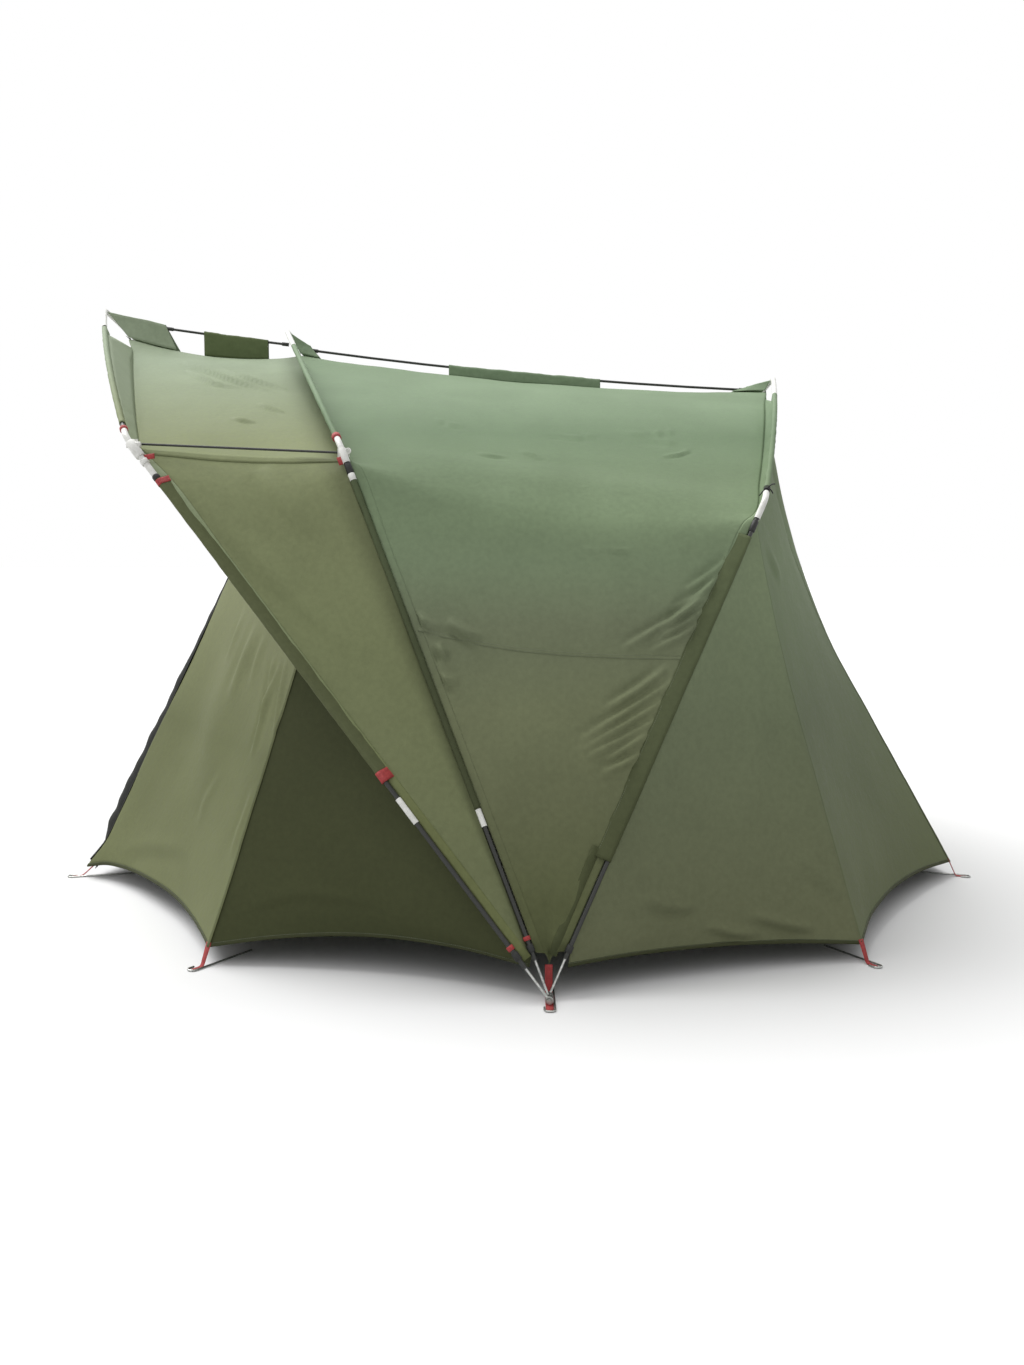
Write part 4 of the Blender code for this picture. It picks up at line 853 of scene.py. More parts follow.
# Edge strips: a dark strip of taffeta bound over the canopy's rear edges below the sleeves, in the
# rear sleeves' darker copy of the cloth: painted shade, carrying the sleeves' shade down to the pivot.
EDGE_SHADE_STRIP = (0.022, 0.0026)
low = slice(0, sum(CANOPY_ROWS[:2]) - 3)
edge_up = outward(canopy)[0][low, -1]
canopy_edge_shade_strips = pair("canopy_edge", [binding(canopy[low, -1], canopy[low, -2], edge_up, *EDGE_SHADE_STRIP)],
                    shaded_rear_sleeve_cloth, "root")

# Side seams: on each side of the canopy the upper panel laps over the lower along a curve, and is
# sewn down with two rows of the same thread.
SEAM_TAPE = (0.011, 0.0014)
SEAM_LIFT = 0.0008
SEAM_ROWS = (-0.0035, 0.0035)
SEAM_ROWS_LIFT = 0.0009
SEAM_RUN = ((-0.262, 0.836), (-0.187, 0.816), (-0.098, 0.797), (-0.002, 0.782), (0.105, 0.772),
            (0.254, 0.764), (0.425, 0.761))
seam_path, seam_up = side_run(canopy, SEAM_RUN, SEAM_LIFT)
canopy_seams = pair("canopy_seam", [band(seam_path, seam_up, *SEAM_TAPE)], canopy_cloth, "root")
seam_across = unit(np.cross(np.gradient(seam_path, axis=0), seam_up))
seam_lines = [seam_path + seam_up * SEAM_ROWS_LIFT + seam_across * step for step in SEAM_ROWS]

# Awning: the porch roof and its cheeks, between the front and middle hoops, of the same taffeta.
AWNING_ROWS = (8, 9, 10, 11, 12, 12, 14, 26, 26, 22, 14, 10, 10)
AWNING_COLUMNS = 14
AWNING_SWING = math.radians(60)
AWNING_FIN_SWING = math.radians(45)
PAINTED_SHADE_REACH = (0.085, 0.004)
LAP_ROWS = 3
LAP_LIFT = 0.0016
LAP_THICKNESS = 0.0012
FRONT_SLEEVE = LegSleeve(FRONT, 0.629, 1.53, math.radians(55), SLEEVE_TAIL)
awning_fore_hang = Hang(AWNING_SWING, CANOPY_LEG_GAP, FIN_OFFSET, 0)
awning_aft_hang = Hang(-AWNING_SWING, 0, FIN_OFFSET - FABRIC - SEAT_GAP, 0)
awning = between(whole(hoop_edge(FRONT, awning_fore_hang)), whole(hoop_edge(MIDDLE, awning_aft_hang)))
shoulders = (LEG_CELLS + 1, len(awning) - 2 - LEG_CELLS)
counts = AWNING_ROWS + AWNING_ROWS[::-1]
parts = [spline(awning[a:b + 1], counts[a:b], 0)
         for a, b in zip((0, *shoulders), (*shoulders, len(awning) - 1))]
awning = spline(np.concatenate([parts[0], parts[1][1:], parts[2][1:]]), AWNING_COLUMNS, 1)
AWNING_FOLDS = [(0.0036, 0.014, (-1.060, 1.600), (-0.873, 1.525), (-0.740, 1.480)),
                (0.0034, 0.012, (-0.930, 1.572), (-0.799, 1.523), (-0.689, 1.487)),
                (0.0034, 0.011, (-1.020, 1.560), (-0.908, 1.505), (-0.830, 1.490)),
                (0.0032, 0.008, (-0.743, 1.430), (-0.660, 1.398)),
                (0.0032, 0.008, (-0.786, 1.379), (-0.720, 1.363)),
                (0.030, 0.009, (-0.799, 1.147), (-0.694, 1.048), (-0.541, 0.926)),
                (0.022, 0.007, (-0.666, 0.999), (-0.540, 0.902), (-0.414, 0.783)),
                (0.024, 0.008, (-0.660, 1.230), (-0.632, 1.198), (-0.520, 1.060)),
                (0.010, 0.004, (-0.380, 0.560), (-0.346, 0.526), (-0.297, 0.463))]
awning = pressed(awning, AWNING_FOLDS, seed=2)
awning_width = np.linalg.norm(np.diff(awning, axis=1), axis=-1).mean(0).sum()
# The awning darkens over its last widths before the middle hoop: painted shade beside the pole.
awning_cloth = taffeta("coated_taffeta_awning", (0.2, "717757"), (0.8, "7c835f"), (1.3, "848b67"),
                       (1.6, "96a38a"), painted_shade_band=[awning_width - reach for reach in PAINTED_SHADE_REACH])
awning_sheet = solid("awning_sheet", [shell(awning)], awning_cloth, None)
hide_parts("awning")
# The front fin takes a paler copy of the awning's cloth: painted light, for light through the fin.
lit_front_fin_cloth = taffeta("coated_taffeta_front_fin", (0.4, "70764f"), (1.1, "8f9a78"), (1.5, "a0ac93"))
front_strip = fin(FRONT, awning_fore_hang, AWNING_FIN_SWING, AWNING_ROWS, awning[:, 0])
front_fin = solid("front_fin", [shell(front_strip)], lit_front_fin_cloth, "front_hoop")
# The front leg sleeves take a darker copy of the cloth: painted shade beside the front leg.
shaded_front_sleeve_cloth = taffeta("coated_taffeta_front_sleeve", (0.4, "5a5f44"), (1.4, "656b4c"))
front_sleeves = pair("front_leg_sleeve", [leg_sleeve(*FRONT_SLEEVE)], shaded_front_sleeve_cloth, "front_hoop")
front_sleeves += pair("front_roof_sleeve", [roof_sleeve(FRONT, 0.07)], awning_cloth, "front_hoop")

# Awning laps: a doubled hem of the awning's cloth under each brace, where the roof panel laps over
# the cheek and is sewn to it.
shoulder_row = sum(AWNING_ROWS[:LEG_CELLS + 1])
lap = slice(shoulder_row - LAP_ROWS, shoulder_row + 1)
lap_strip = awning[lap] + outward(awning)[0][lap] * LAP_LIFT
awning_laps = pair("awning_lap", [shell(lap_strip, LAP_THICKNESS)], awning_cloth, None)
for piece in (awning_sheet, *awning_laps):
    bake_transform(piece)

# Front wall: side panels and wings of the same taffeta, hung from the middle hoop and pegged at
# their corners, with the door's header between the wings.
CORNER_HEIGHT = 0.045
LOOP_REACH = 0.05
FRONT_END_REACH = 0.08
FRONT_END_FLARE = 0.42
FRONT_LOOP_HEIGHT = 0.012
FRONT_END_PEG = (-1.395, -0.42)
FRONT_SIDE_PEG = (-0.804, -1.318)
REAR_SIDE_PEG = (0.879, -1.295)
REAR_END_PEG = (1.395, -0.42)
WALL_CORNER_STEP = 0.045
WALL_OFFSET = 0.002
FRONT_WALL_SWING = math.radians(-10)
HEM_INSET = 0.05
HEM_RISE = 0.02
REAR_HEM_INSET = 0.03
REAR_HEM_RISE = 0.012
SEAM_SAG = 0.03
REAR_SEAM_SAG = 0.087
SAG_SKEW = 0.6
DOOR_TOP_SET = 0.042
DOOR_TOP_HALF_WIDTH = 0.24
REAR_PANEL_TOP_HALF_WIDTH = 0.3
WALL_ROWS = 8
WALL_CELLS = 5
END_CELLS = 6
HEADER_ROWS = 2
ZIP_TAPE = 0.02
WALL_FINE = 12
NEAR_FINE = 22
REAR_FINE = (12, 12, 12, 12, 12, 14, 18, 26)
HEM_LIFT = 0.014
FELL_LIFT = 0.0009
FELL_TAPE = (0.011, 0.0012)


def wall_corner(peg, reach=LOOP_REACH):
    """A wall's corner over its peg, drawn in from the peg by the loop's reach."""
    place = np.array([*peg, 0.0])
    place = place + unit(np.array([PIVOT_X, 0.0, 0.0]) - place) * reach
    place[2] = CORNER_HEIGHT
    return place


def hem(start, end, cells, inset, rise):
    """A hollow-cut hem between two corners, drawn in toward the middle and lifted."""
    run = end - start
    square = unit(np.array([-run[1], run[0], 0.0]))
    square *= np.sign(square @ (np.array([PIVOT_X, 0.0, 0.0]) - (start + end) / 2))
    t = np.linspace(0, 1, cells + 1)[:, None]
    return lerp(start, end, t) + (square * inset + np.array([0, 0, rise])) * 4 * t * (1 - t)


def wall_top(edge, split):
    """A near hoop edge cut at the shoulder and at the end panel's seam, in even steps."""
    leg, roof = edge[:LEG_CELLS + 2], edge[LEG_CELLS + 1:]
    k = int(np.argmax(-roof[:, 1] < split)) - 1
    share = (-roof[k, 1] - split) / (roof[k + 1, 1] - roof[k, 1])
    cut = lerp(roof[k], roof[k + 1], share)[None]
    return (resample(leg, WALL_CELLS), resample(np.concatenate([roof[:k + 1], cut]), WALL_CELLS),
            resample(np.concatenate([cut, roof[k + 1:]]), END_CELLS // 2))


def sag_share(t):
    """How far in a seam hangs at a share of its height, most in the upper half."""
    return 4 * t * (1 - t) * (1 + SAG_SKEW * (1 - 2 * t))


def door_share(t):
    """How far in the door's edges are set, most at the foot of the header."""
    foot = HEADER_ROWS / WALL_ROWS
    return min(t / foot, (1 - t) / (1 - foot))


def wall_coarse(hoop, hang, split, first, corners, inset, rise, end_pull, end_share):
    """The whole wall as a coarse grid, near pivot corner to far pivot corner."""
    top = wall_top(hoop_edge(hoop, hang), split)
    side_corner, end_corner = corners
    end_hem = hem(end_corner, end_corner * (1, -1, 1), END_CELLS, HEM_INSET, HEM_RISE)
    bottom = (hem(first, side_corner, WALL_CELLS, inset, rise),
              hem(side_corner, end_corner, WALL_CELLS, HEM_INSET, HEM_RISE),
              end_hem[:END_CELLS // 2 + 1])
    top, bottom = [whole(np.concatenate([r[0], r[1][1:], r[2][1:]])) for r in (top, bottom)]
    last = len(top) - 1
    rows = []
    for t in np.linspace(0, 1, WALL_ROWS + 1):
        pull = np.zeros(len(top))
        pull[[WALL_CELLS, last - WALL_CELLS]] = SEAM_SAG * sag_share(t)
        pull[[2 * WALL_CELLS, last - 2 * WALL_CELLS]] = end_pull * end_share(t)
        points = lerp(top, bottom, t)
        inner = np.stack([PIVOT_X - points[:, 0], -points[:, 1], 0 * points[:, 0]], 1)
        rows.append(points + unit(inner) * pull[:, None])
    seams = {0, WALL_CELLS, 2 * WALL_CELLS}
    return settled(np.array(rows), seams | {last - c for c in seams}, (0, WALL_ROWS), 1.0)


def panels(grid, splits, across=WALL_FINE, down=WALL_FINE):
    """Smooths a coarse grid panel by panel, and keeps its seams as creases."""
    grid = spline(grid, down, 0)
    made = [spline(grid[:, a:b + 1], across, 1) for a, b in zip(splits, splits[1:])]
    return np.concatenate([made[0]] + [part[:, 1:] for part in made[1:]], 1)


def flared(grid, corner, tip, spread=0.05):
    """Draws the cloth about a corner out to its loop."""
    near = np.exp(-(np.linalg.norm(grid - corner, axis=-1) / spread) ** 2)
    return grid + (tip - corner) * near[..., None]


wing_cloth = taffeta("coated_taffeta_wing", (0.1, "707554"), (0.5, "6b7050"), (0.9, "8f9470"))
# The side panels take a darker copy of the cloth: painted shade, for the shade under the awning's
# cheeks.
shaded_side_cloth = taffeta("coated_taffeta_side_panel", (0.1, "494d34"), (0.6, "4d5139"), (1.1, "4e553a"))
front_first = np.array([PIVOT_X - WALL_CORNER_STEP, -PIVOT_CORNER_Y, PIVOT_CORNER_Z])
front_end_corner = wall_corner(FRONT_END_PEG, FRONT_END_REACH)
front_side_corner = wall_corner(FRONT_SIDE_PEG)
front_wall_hang = Hang(FRONT_WALL_SWING, WALL_OFFSET, WALL_OFFSET, FABRIC + SEAT_GAP)
front_coarse = wall_coarse(MIDDLE, front_wall_hang, DOOR_TOP_HALF_WIDTH, front_first,
                           (front_side_corner, front_end_corner), HEM_INSET, HEM_RISE, DOOR_TOP_SET,
                           door_share)
DOOR_NEAR = 2 * WALL_CELLS
DOOR_FAR = DOOR_NEAR + END_CELLS
door_edge, door_far_edge = front_coarse[:, DOOR_NEAR], front_coarse[:, DOOR_FAR]
along_edge = unit(door_edge[HEADER_ROWS] - door_edge[-1])
sill = door_edge[-1] - door_far_edge[-1]
tape_column = door_edge + unit(sill - along_edge * (sill @ along_edge)) * ZIP_TAPE
tape_column[0] = door_edge[0] + unit(front_coarse[0, DOOR_NEAR - 1] - door_edge[0]) * ZIP_TAPE
near_wall = np.concatenate([front_coarse[:, :DOOR_NEAR], tape_column[:, None], door_edge[:, None]], 1)
near_wall = panels(near_wall, (0, WALL_CELLS, DOOR_NEAR, DOOR_NEAR + 1), NEAR_FINE)
front_tip = lerp(front_end_corner, np.array([*FRONT_END_PEG, FRONT_LOOP_HEIGHT]), FRONT_END_FLARE)
near_wall = flared(near_wall, front_end_corner, front_tip)
WALL_FOLDS = [(0.007, 0.010, (-0.628, 0.723), (-0.653, 0.646), (-0.681, 0.542), (-0.696, 0.487)),
              (0.007, 0.009, (-0.606, 0.739), (-0.614, 0.635), (-0.618, 0.561)),
              (0.007, 0.009, (-0.654, 0.738), (-0.662, 0.631), (-0.672, 0.580)),
              (0.008, 0.004, (-0.673, 0.421), (-0.696, 0.358), (-0.735, 0.250)),
              (0.012, 0.007, (-0.802, 0.835), (-0.829, 0.743), (-0.850, 0.690)),
              (0.014, 0.009, (-0.731, 0.810), (-0.771, 0.686), (-0.800, 0.600)),
              (0.010, 0.006, (-0.690, 0.790), (-0.715, 0.720), (-0.730, 0.650)),
              (0.070, 0.016, (-0.760, 0.830), (-0.850, 0.560), (-0.880, 0.300)),
              (0.020, 0.004, (-1.221, 0.103), (-1.088, 0.153), (-0.906, 0.201)),
              (0.014, 0.003, (-0.697, 0.139), (-0.544, 0.180), (-0.341, 0.170)),
              (0.010, 0.003, (-0.800, 0.420), (-0.860, 0.330), (-0.890, 0.260))]
near_wall = pressed(near_wall, WALL_FOLDS, seed=7, hold=NEAR_FINE)
wing_seam = WALL_CELLS * NEAR_FINE
lift = HEM_LIFT * np.sin(math.pi * np.linspace(0, 1, wing_seam + 1))
near_wall[:, :wing_seam + 1, 2] += lift * np.linspace(0, 1, len(near_wall))[:, None] ** 3
header = panels(front_coarse[:HEADER_ROWS + 1, DOOR_NEAR:DOOR_FAR + 1], (0, END_CELLS))
wings = pair("front_wing", [shell(near_wall[:, wing_seam:])], wing_cloth, "root")
side_panels = pair("front_side_panel", [shell(near_wall[:, :wing_seam + 1])], shaded_side_cloth, "root")
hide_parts("front_wall")
door_header = solid("door_header", [shell(header)], wing_cloth, "root")


def hem_binding(grid):
    """The tape on a cloth's lower edge."""
    return binding(grid[-1], grid[-2], outward(grid)[0][-1])


def felled_seam(grid, column):
    """Two panels' edges folded over each other and sewn flat, down a column of a cloth."""
    up = outward(grid)[0][:, column]
    return band(grid[:, column] + up * FELL_LIFT, up, *FELL_TAPE)


front_trims = pair("front_wall_trim", [hem_binding(near_wall)], shaded_trim_cloth, "root")
wing_seams = pair("wing_seam", [felled_seam(near_wall, wing_seam)], wing_cloth, "root")
header_trim = solid("header_trim", [hem_binding(header)], shaded_trim_cloth, "root")

# Rear wall: side panels, corner panels and an end panel, cut to hollow curves and sewn into one
# curtain of the same taffeta, which hangs from the rear hoop and is pegged at its corners.
rear_side_corner, rear_end_corner = wall_corner(REAR_SIDE_PEG), wall_corner(REAR_END_PEG)
leg_middle = lerp(leg_point(REAR, 0), leg_point(REAR, REAR.elbow_reach), 0.5)
seam_middle = lerp(leg_point(REAR, REAR.elbow_reach), rear_side_corner, 0.5)
_, rear_inward, rear_rearward = pole_frame(REAR)
rear_swing = math.atan2((seam_middle - leg_middle) @ rear_rearward,
                        (seam_middle - leg_middle) @ rear_inward)
rear_first = np.array([PIVOT_X + WALL_CORNER_STEP, -PIVOT_CORNER_Y, PIVOT_CORNER_Z])
rear_wall_hang = Hang(rear_swing, -FABRIC / 2, -WALL_OFFSET, FABRIC + SEAT_GAP)
rear_coarse = wall_coarse(REAR, rear_wall_hang, REAR_PANEL_TOP_HALF_WIDTH, rear_first,
                          (rear_side_corner, rear_end_corner), REAR_HEM_INSET, REAR_HEM_RISE,
                          REAR_SEAM_SAG, sag_share)
rear_splits = (0, WALL_CELLS, DOOR_NEAR, DOOR_FAR, DOOR_FAR + WALL_CELLS, DOOR_FAR + 2 * WALL_CELLS)
REAR_FOLDS = [(0.012, 0.006, (0.655, 1.030), (0.663, 1.008), (0.707, 0.931)),
              (0.012, 0.004, (0.630, 0.790), (0.651, 0.720)),
              (0.014, 0.005, (0.650, 0.640), (0.700, 0.532), (0.745, 0.440)),
              (0.040, 0.008, (0.560, 0.900), (0.600, 0.620), (0.560, 0.350)),
              (0.014, 0.004, (0.334, 0.523), (0.354, 0.425)),
              (0.013, 0.012, (0.290, 0.206), (0.350, 0.180), (0.420, 0.162)),
              (0.012, 0.012, (0.450, 0.125), (0.510, 0.100), (0.580, 0.085)),
              (0.012, 0.012, (0.560, 0.140), (0.640, 0.110), (0.730, 0.086)),
              (0.013, 0.010, (0.700, 0.270), (0.760, 0.200), (0.800, 0.150))]
rear_grid = pressed(panels(rear_coarse, rear_splits, down=REAR_FINE), REAR_FOLDS, seed=9)
rear_cloth = taffeta("coated_taffeta_rear", (0.1, "717559"), (0.6, "737c61"),
                     (1.0, "889676"), (1.4, "7c8a6b"))
rear_sheet = solid("rear_wall_sheet", [shell(rear_grid)], rear_cloth, "root")
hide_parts("rear_wall")
# The corner and end panels take a darker copy of the cloth: painted shade, as they face away from the
# light.
shaded_end_cloth = taffeta("coated_taffeta_rear_end", (0.1, "6a7153"), (0.6, "656f54"),
                    (1.0, "728161"), (1.4, "697759"))
rear_sheet.data.materials.append(shaded_end_cloth)
face_cell = np.tile(np.arange(rear_grid.shape[1] - 1) // WALL_FINE, 2 * (len(rear_grid) - 1))
shaded_faces = np.zeros(len(rear_sheet.data.polygons), np.int32)
shaded_faces[:len(face_cell)] = (face_cell >= rear_splits[1]) & (face_cell < rear_splits[4])
rear_sheet.data.polygons.foreach_set("material_index", shaded_faces)
rear_trim = solid("rear_wall_trim", [hem_binding(rear_grid)], shaded_trim_cloth, "root")
end_seams = [c * WALL_FINE for c in rear_splits[2:4]]
rear_seams = solid("rear_wall_seams", [felled_seam(rear_grid, column) for column in end_seams],
                   rear_cloth, "root")

# Mesh door: a panel of knitted polyester net, matt black and half see-through, zipped between the
# wings, baggy and gathered at its edges. Its meshes are 1.2 mm wide, drawn 5 mm wide so that they
# show.
NET_BLACK = "0b0d09"
NET_WORN = "161911"
DOOR_GAP = 0.0006
DOOR_SILL = 0.015
DOOR_LAST_STEP = 0.05
DOOR_BULGE = 0.05
DOOR_SLOPE = 0.06
DOOR_TOP_BULGE = 0.2
DOOR_BELLY = 0.86
DOOR_BELLY_POWER = 1.6
DOOR_GATHER = 0.25
DOOR_SEWN = 0.022
DOOR_TAIL = 0.03
DOOR_FINE = 20
NET_MESH = 0.005
NET_OPEN = 0.22
door_rows = front_coarse[HEADER_ROWS:, DOOR_NEAR:DOOR_FAR + 1]
door_grid = spline(spline(door_rows, DOOR_FINE, 0), DOOR_FINE, 1)
door_forward = unit(np.cross(along_edge, -sill))
door_forward *= -np.sign(door_forward[0])
rows, columns = door_grid.shape[:2]
u = np.linspace(0, 1, columns)[None]
v = np.linspace(0, 1, rows)[:, None]
bag = np.clip((np.minimum(u, 1 - u) - DOOR_SEWN) / DOOR_SLOPE, 0, 1)
bag = bag * (2 - bag)
drift = np.stack([door_grid[..., 1] * 0.3, door_grid[..., 2], 0 * door_grid[..., 2]], -1)
gather = 0.5 * (1 + waves(drift, 0.13, 4) + 0.4 * waves(drift, 0.05, 5))
belly = lerp(DOOR_TOP_BULGE, 1, np.minimum(v / DOOR_BELLY, 1) ** DOOR_BELLY_POWER)
bulge = bag * DOOR_BULGE * belly * (1 - DOOR_GATHER + DOOR_GATHER * gather)
bulge = np.minimum(bulge, DOOR_BULGE) * np.minimum((1.03 - v) * 9, 1)
door_grid = door_grid + door_forward * bulge[..., None]
inset = unit(door_far_edge[-1] - door_edge[-1]) * DOOR_GAP
door_grid[:, 0] += inset
door_grid[:, -1] -= inset
door_grid[-1] = lerp(door_grid[-1], door_grid[-2], DOOR_SILL / DOOR_LAST_STEP)
for side in (1, -1):
    door_grid = flared(door_grid, front_end_corner * (1, side, 1),
                       (front_end_corner - along_edge * DOOR_TAIL) * (1, side, 1))
net = finish("knitted_polyester_net", NET_BLACK, NET_WORN, 0.03, (0.7, 0.85))
tree = net.node_tree
place = add_node(tree, "ShaderNodeTexCoord")
holes = [add_node(tree, "ShaderNodeTexWave", {"Vector": (place, "UV"), "Scale": WAVE_TURNS / NET_MESH},
                  bands_direction=way) for way in ("X", "Y")]
hole = add_node(tree, "ShaderNodeMath", {0: (holes[0], "Fac"), 1: (holes[1], "Fac")},
                operation="MULTIPLY")
threads = add_node(tree, "ShaderNodeMath", {0: (hole, "Value"), 1: 1 - NET_OPEN},
                   operation="LESS_THAN")
join(tree, threads, "Value", tree.nodes["Principled BSDF"], "Alpha")
door_net = solid("door_net", [shell(door_grid)], net, "door")
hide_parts("mesh_door")

# Zips: a black coil of nylon, a little glossy, sewn to a matt black tape of woven polyester. One
# runs up each edge of the door, and its tape is sewn to the wing.
TAPE_COLOURS = ("151614", "232421")
COIL_COLOURS = ("1d1e1c", "2c2d2a")
ZIP_WIDTH = 0.018
ZIP_THICKNESS = 0.0011
ZIP_OUT = 0.0016
COIL_OUT = 0.0048
COIL_LIFT = 0.0032
COIL_PITCH = 0.0032
COIL_WIRE = 0.0022
COIL_WIDTH = 0.006
tape_finish = finish("woven_zip_tape", *TAPE_COLOURS, 0.0015, (0.6, 0.75), relief=0.0002)
coil_finish = finish("nylon_zip_coil", *COIL_COLOURS, 0.002, (0.35, 0.5))
edge_line = flared(resample(door_edge[HEADER_ROWS:], 60)[:-1], front_end_corner, front_tip)
edge_out = unit(tape_column[-1] - door_edge[-1])
tape_line = edge_line + edge_out * (ZIP_WIDTH / 2 + ZIP_OUT) + door_forward * ZIP_OUT
pair("zip_tape", [band(tape_line, door_forward, ZIP_WIDTH, ZIP_THICKNESS)], tape_finish, "root")
coil_line = edge_line + edge_out * COIL_OUT + door_forward * COIL_LIFT
set_along("zip_coils", both([coil_line]), COIL_PITCH, COIL_WIRE, COIL_WIDTH, coil_finish, "root")

# Ridge gussets and tunnels. Each gusset is a doubled triangle of taffeta from a hub's underside
# down to the ridge, which holds a bar's end. The tunnels are loops of cloth that lift over a bar.
BAR_R = 0.004
BAR_SAG_RATE = 0.0075
FRONT_BAR_RISE = 0.036
FRONT_BAR_FORE_INSET = 0.12
MIDDLE_GUSSET_LENGTH = 0.072
REAR_BAR_FORE_RISE = 0.018
REAR_BAR_AFT_RISE = 0.008
REAR_BAR_AFT_INSET = 0.063
GUSSET_HUB_STEP = 0.006
FRONT_TUNNEL = (0.57, 0.21)
REAR_TUNNEL = (0.49, 0.5)
TUNNEL_HALF_WIDTH = 0.0075
TUNNEL_TOP_GAP = 0.0035
TUNNEL_FOOT_GAP = 0.0016
GUSSET_THICKNESS = 0.0014
GUSSET_LIFT = 0.0015


def ridge_line(grid):
    """The middle row of a cloth, as its X and Z runs."""
    row = grid[len(grid) // 2]
    return row[:, 0], row[:, 2]


def gusset(high, low, rise=0.0045, spread=0.022):
    """A tent of doubled cloth between a high run and a low run of (x, z) points."""
    share = np.linspace(0, 1, 25)
    high, low = [np.stack([np.interp(share, np.linspace(0, 1, len(run)), [p[k] for p in run])
                           for k in (0, 1)], 1) for run in (high, low)]
    side = []
    for t in np.linspace(1, 0, 9):
        place = lerp(high, low, t)
        side.append(np.stack([place[:, 0], 0 * share - rise - spread * t ** 1.5, place[:, 1]], 1))
    crown = np.stack([high[:, 0], 0 * share, high[:, 1] + GUSSET_LIFT], 1)
    grid = np.array(side + [crown] + [row * (1, -1, 1) for row in side[::-1]])
    return pressed(grid, (), ((0.07, 0.0011), (0.03, 0.0004)), seed=12)


canopy_ridge, awning_ridge = ridge_line(canopy), ridge_line(awning)
front_base = np.array([awning_ridge[0][0], awning_ridge[1][0]])
middle_base = np.array([canopy_ridge[0][0], canopy_ridge[1][0]])
rear_base = np.array([canopy_ridge[0][-1], canopy_ridge[1][-1]])
front_hub, middle_hub, rear_hub = [spoke(h.roof_lean, h.hub_reach)[[0, 2]]
                                   for h in (FRONT, MIDDLE, REAR)]
split_x = middle_hub[0] + GUSSET_HUB_STEP
front_bar = (front_base + (FRONT_BAR_FORE_INSET, FRONT_BAR_RISE),
             np.array([split_x, middle_base[1] + FRONT_BAR_RISE]))
rear_bar = (np.array([split_x + MIDDLE_GUSSET_LENGTH, middle_base[1] + REAR_BAR_FORE_RISE]),
            rear_base + (-REAR_BAR_AFT_INSET, REAR_BAR_AFT_RISE))


def over(ridge, x):
    """A point on the ridge's upper face."""
    return (x, float(np.interp(x, *ridge)) + GUSSET_LIFT)


fore, aft = front_bar[0], rear_bar[1]
front_gusset = gusset(
    [front_hub + (0.012, -0.008), (fore[0] - 0.06, lerp(front_hub[1], fore[1], 0.55) - 0.002),
     fore + (-0.001, 0.009)],
    [front_base + (0.002, 0.004), over(awning_ridge, fore[0] - 0.04),
     over(awning_ridge, fore[0] + 0.04)])
middle_gusset = gusset(
    [middle_hub + (0.012, -0.008), rear_bar[0] + (-0.001, 0.012)],
    [middle_base + (0.004, 0.004), over(canopy_ridge, rear_bar[0][0] + 0.03)])
rear_gusset = gusset(
    [aft + (0.001, 0.009), rear_hub + (-0.012, -0.008)],
    [over(canopy_ridge, aft[0] - 0.05), rear_base + (-0.004, 0.004)])
gussets = [solid(f"{word}_gusset", [shell(grid, GUSSET_THICKNESS)], cloth, "root")
           for word, grid, cloth, slot in (("front", front_gusset, awning_cloth, "porch_fabric"),
                                           ("middle", middle_gusset, canopy_cloth, "roof_fabric"),
                                           ("rear", rear_gusset, canopy_cloth, "roof_fabric"))]
# The front tunnel takes a darker copy of the cloth: painted shade on the front tunnel.
shaded_tunnel_cloth = taffeta("coated_taffeta_tunnel", (1.0, "5f6b4c"), (1.7, "65714f"))


def tunnel(bar, share, length, ridge, seed):
    """A loop of cloth from the ridge up over a bar, a little crumpled."""
    fore, aft = bar
    rings = []
    for x in lerp(fore, aft, share)[0] + length * np.linspace(-0.5, 0.5, 70):
        t = (x - fore[0]) / (aft[0] - fore[0])
        sag = BAR_SAG_RATE * np.sum((aft - fore) ** 2) * 4 * t * (1 - t)
        top = lerp(fore[1], aft[1], t) - sag + BAR_R + TUNNEL_TOP_GAP
        foot = np.interp(x, *ridge) + TUNNEL_FOOT_GAP
        heights = np.linspace(foot, top - TUNNEL_HALF_WIDTH, 9)
        side = [(-TUNNEL_HALF_WIDTH, z) for z in heights]
        crown = [(-TUNNEL_HALF_WIDTH * math.cos(a), top - TUNNEL_HALF_WIDTH * (1 - math.sin(a)))
                 for a in np.linspace(0, math.pi, 9)[1:-1]]
        rings.append([(x, y, z) for y, z in side + crown + [(-y, z) for y, z in side[::-1]]])
    outer = np.array(rings)
    slack = 0.0016 * waves(outer, 0.06, seed) + 0.0007 * waves(outer, 0.022, seed + 1)
    lift = np.clip((outer[..., 2] - outer[..., 2].min(1, keepdims=True)) / 0.02, 0, 1)
    push = unit((outer - outer.mean(1, keepdims=True)) * (0, 1, 0.25))
    outer = outer + push * (slack * lift)[..., None]
    inner = outer - push * CLOTH
    return skin(np.concatenate([outer, inner[::-1]]), True)


front_tunnel = solid("front_tunnel_loop", [tunnel(front_bar, *FRONT_TUNNEL, awning_ridge, 21)],
                     shaded_tunnel_cloth, "root")
rear_tunnel = solid("rear_tunnel_loop", [tunnel(rear_bar, *REAR_TUNNEL, canopy_ridge, 24)],
                    canopy_cloth, "root")
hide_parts("front_ridge_tunnel")
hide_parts("rear_ridge_tunnel")

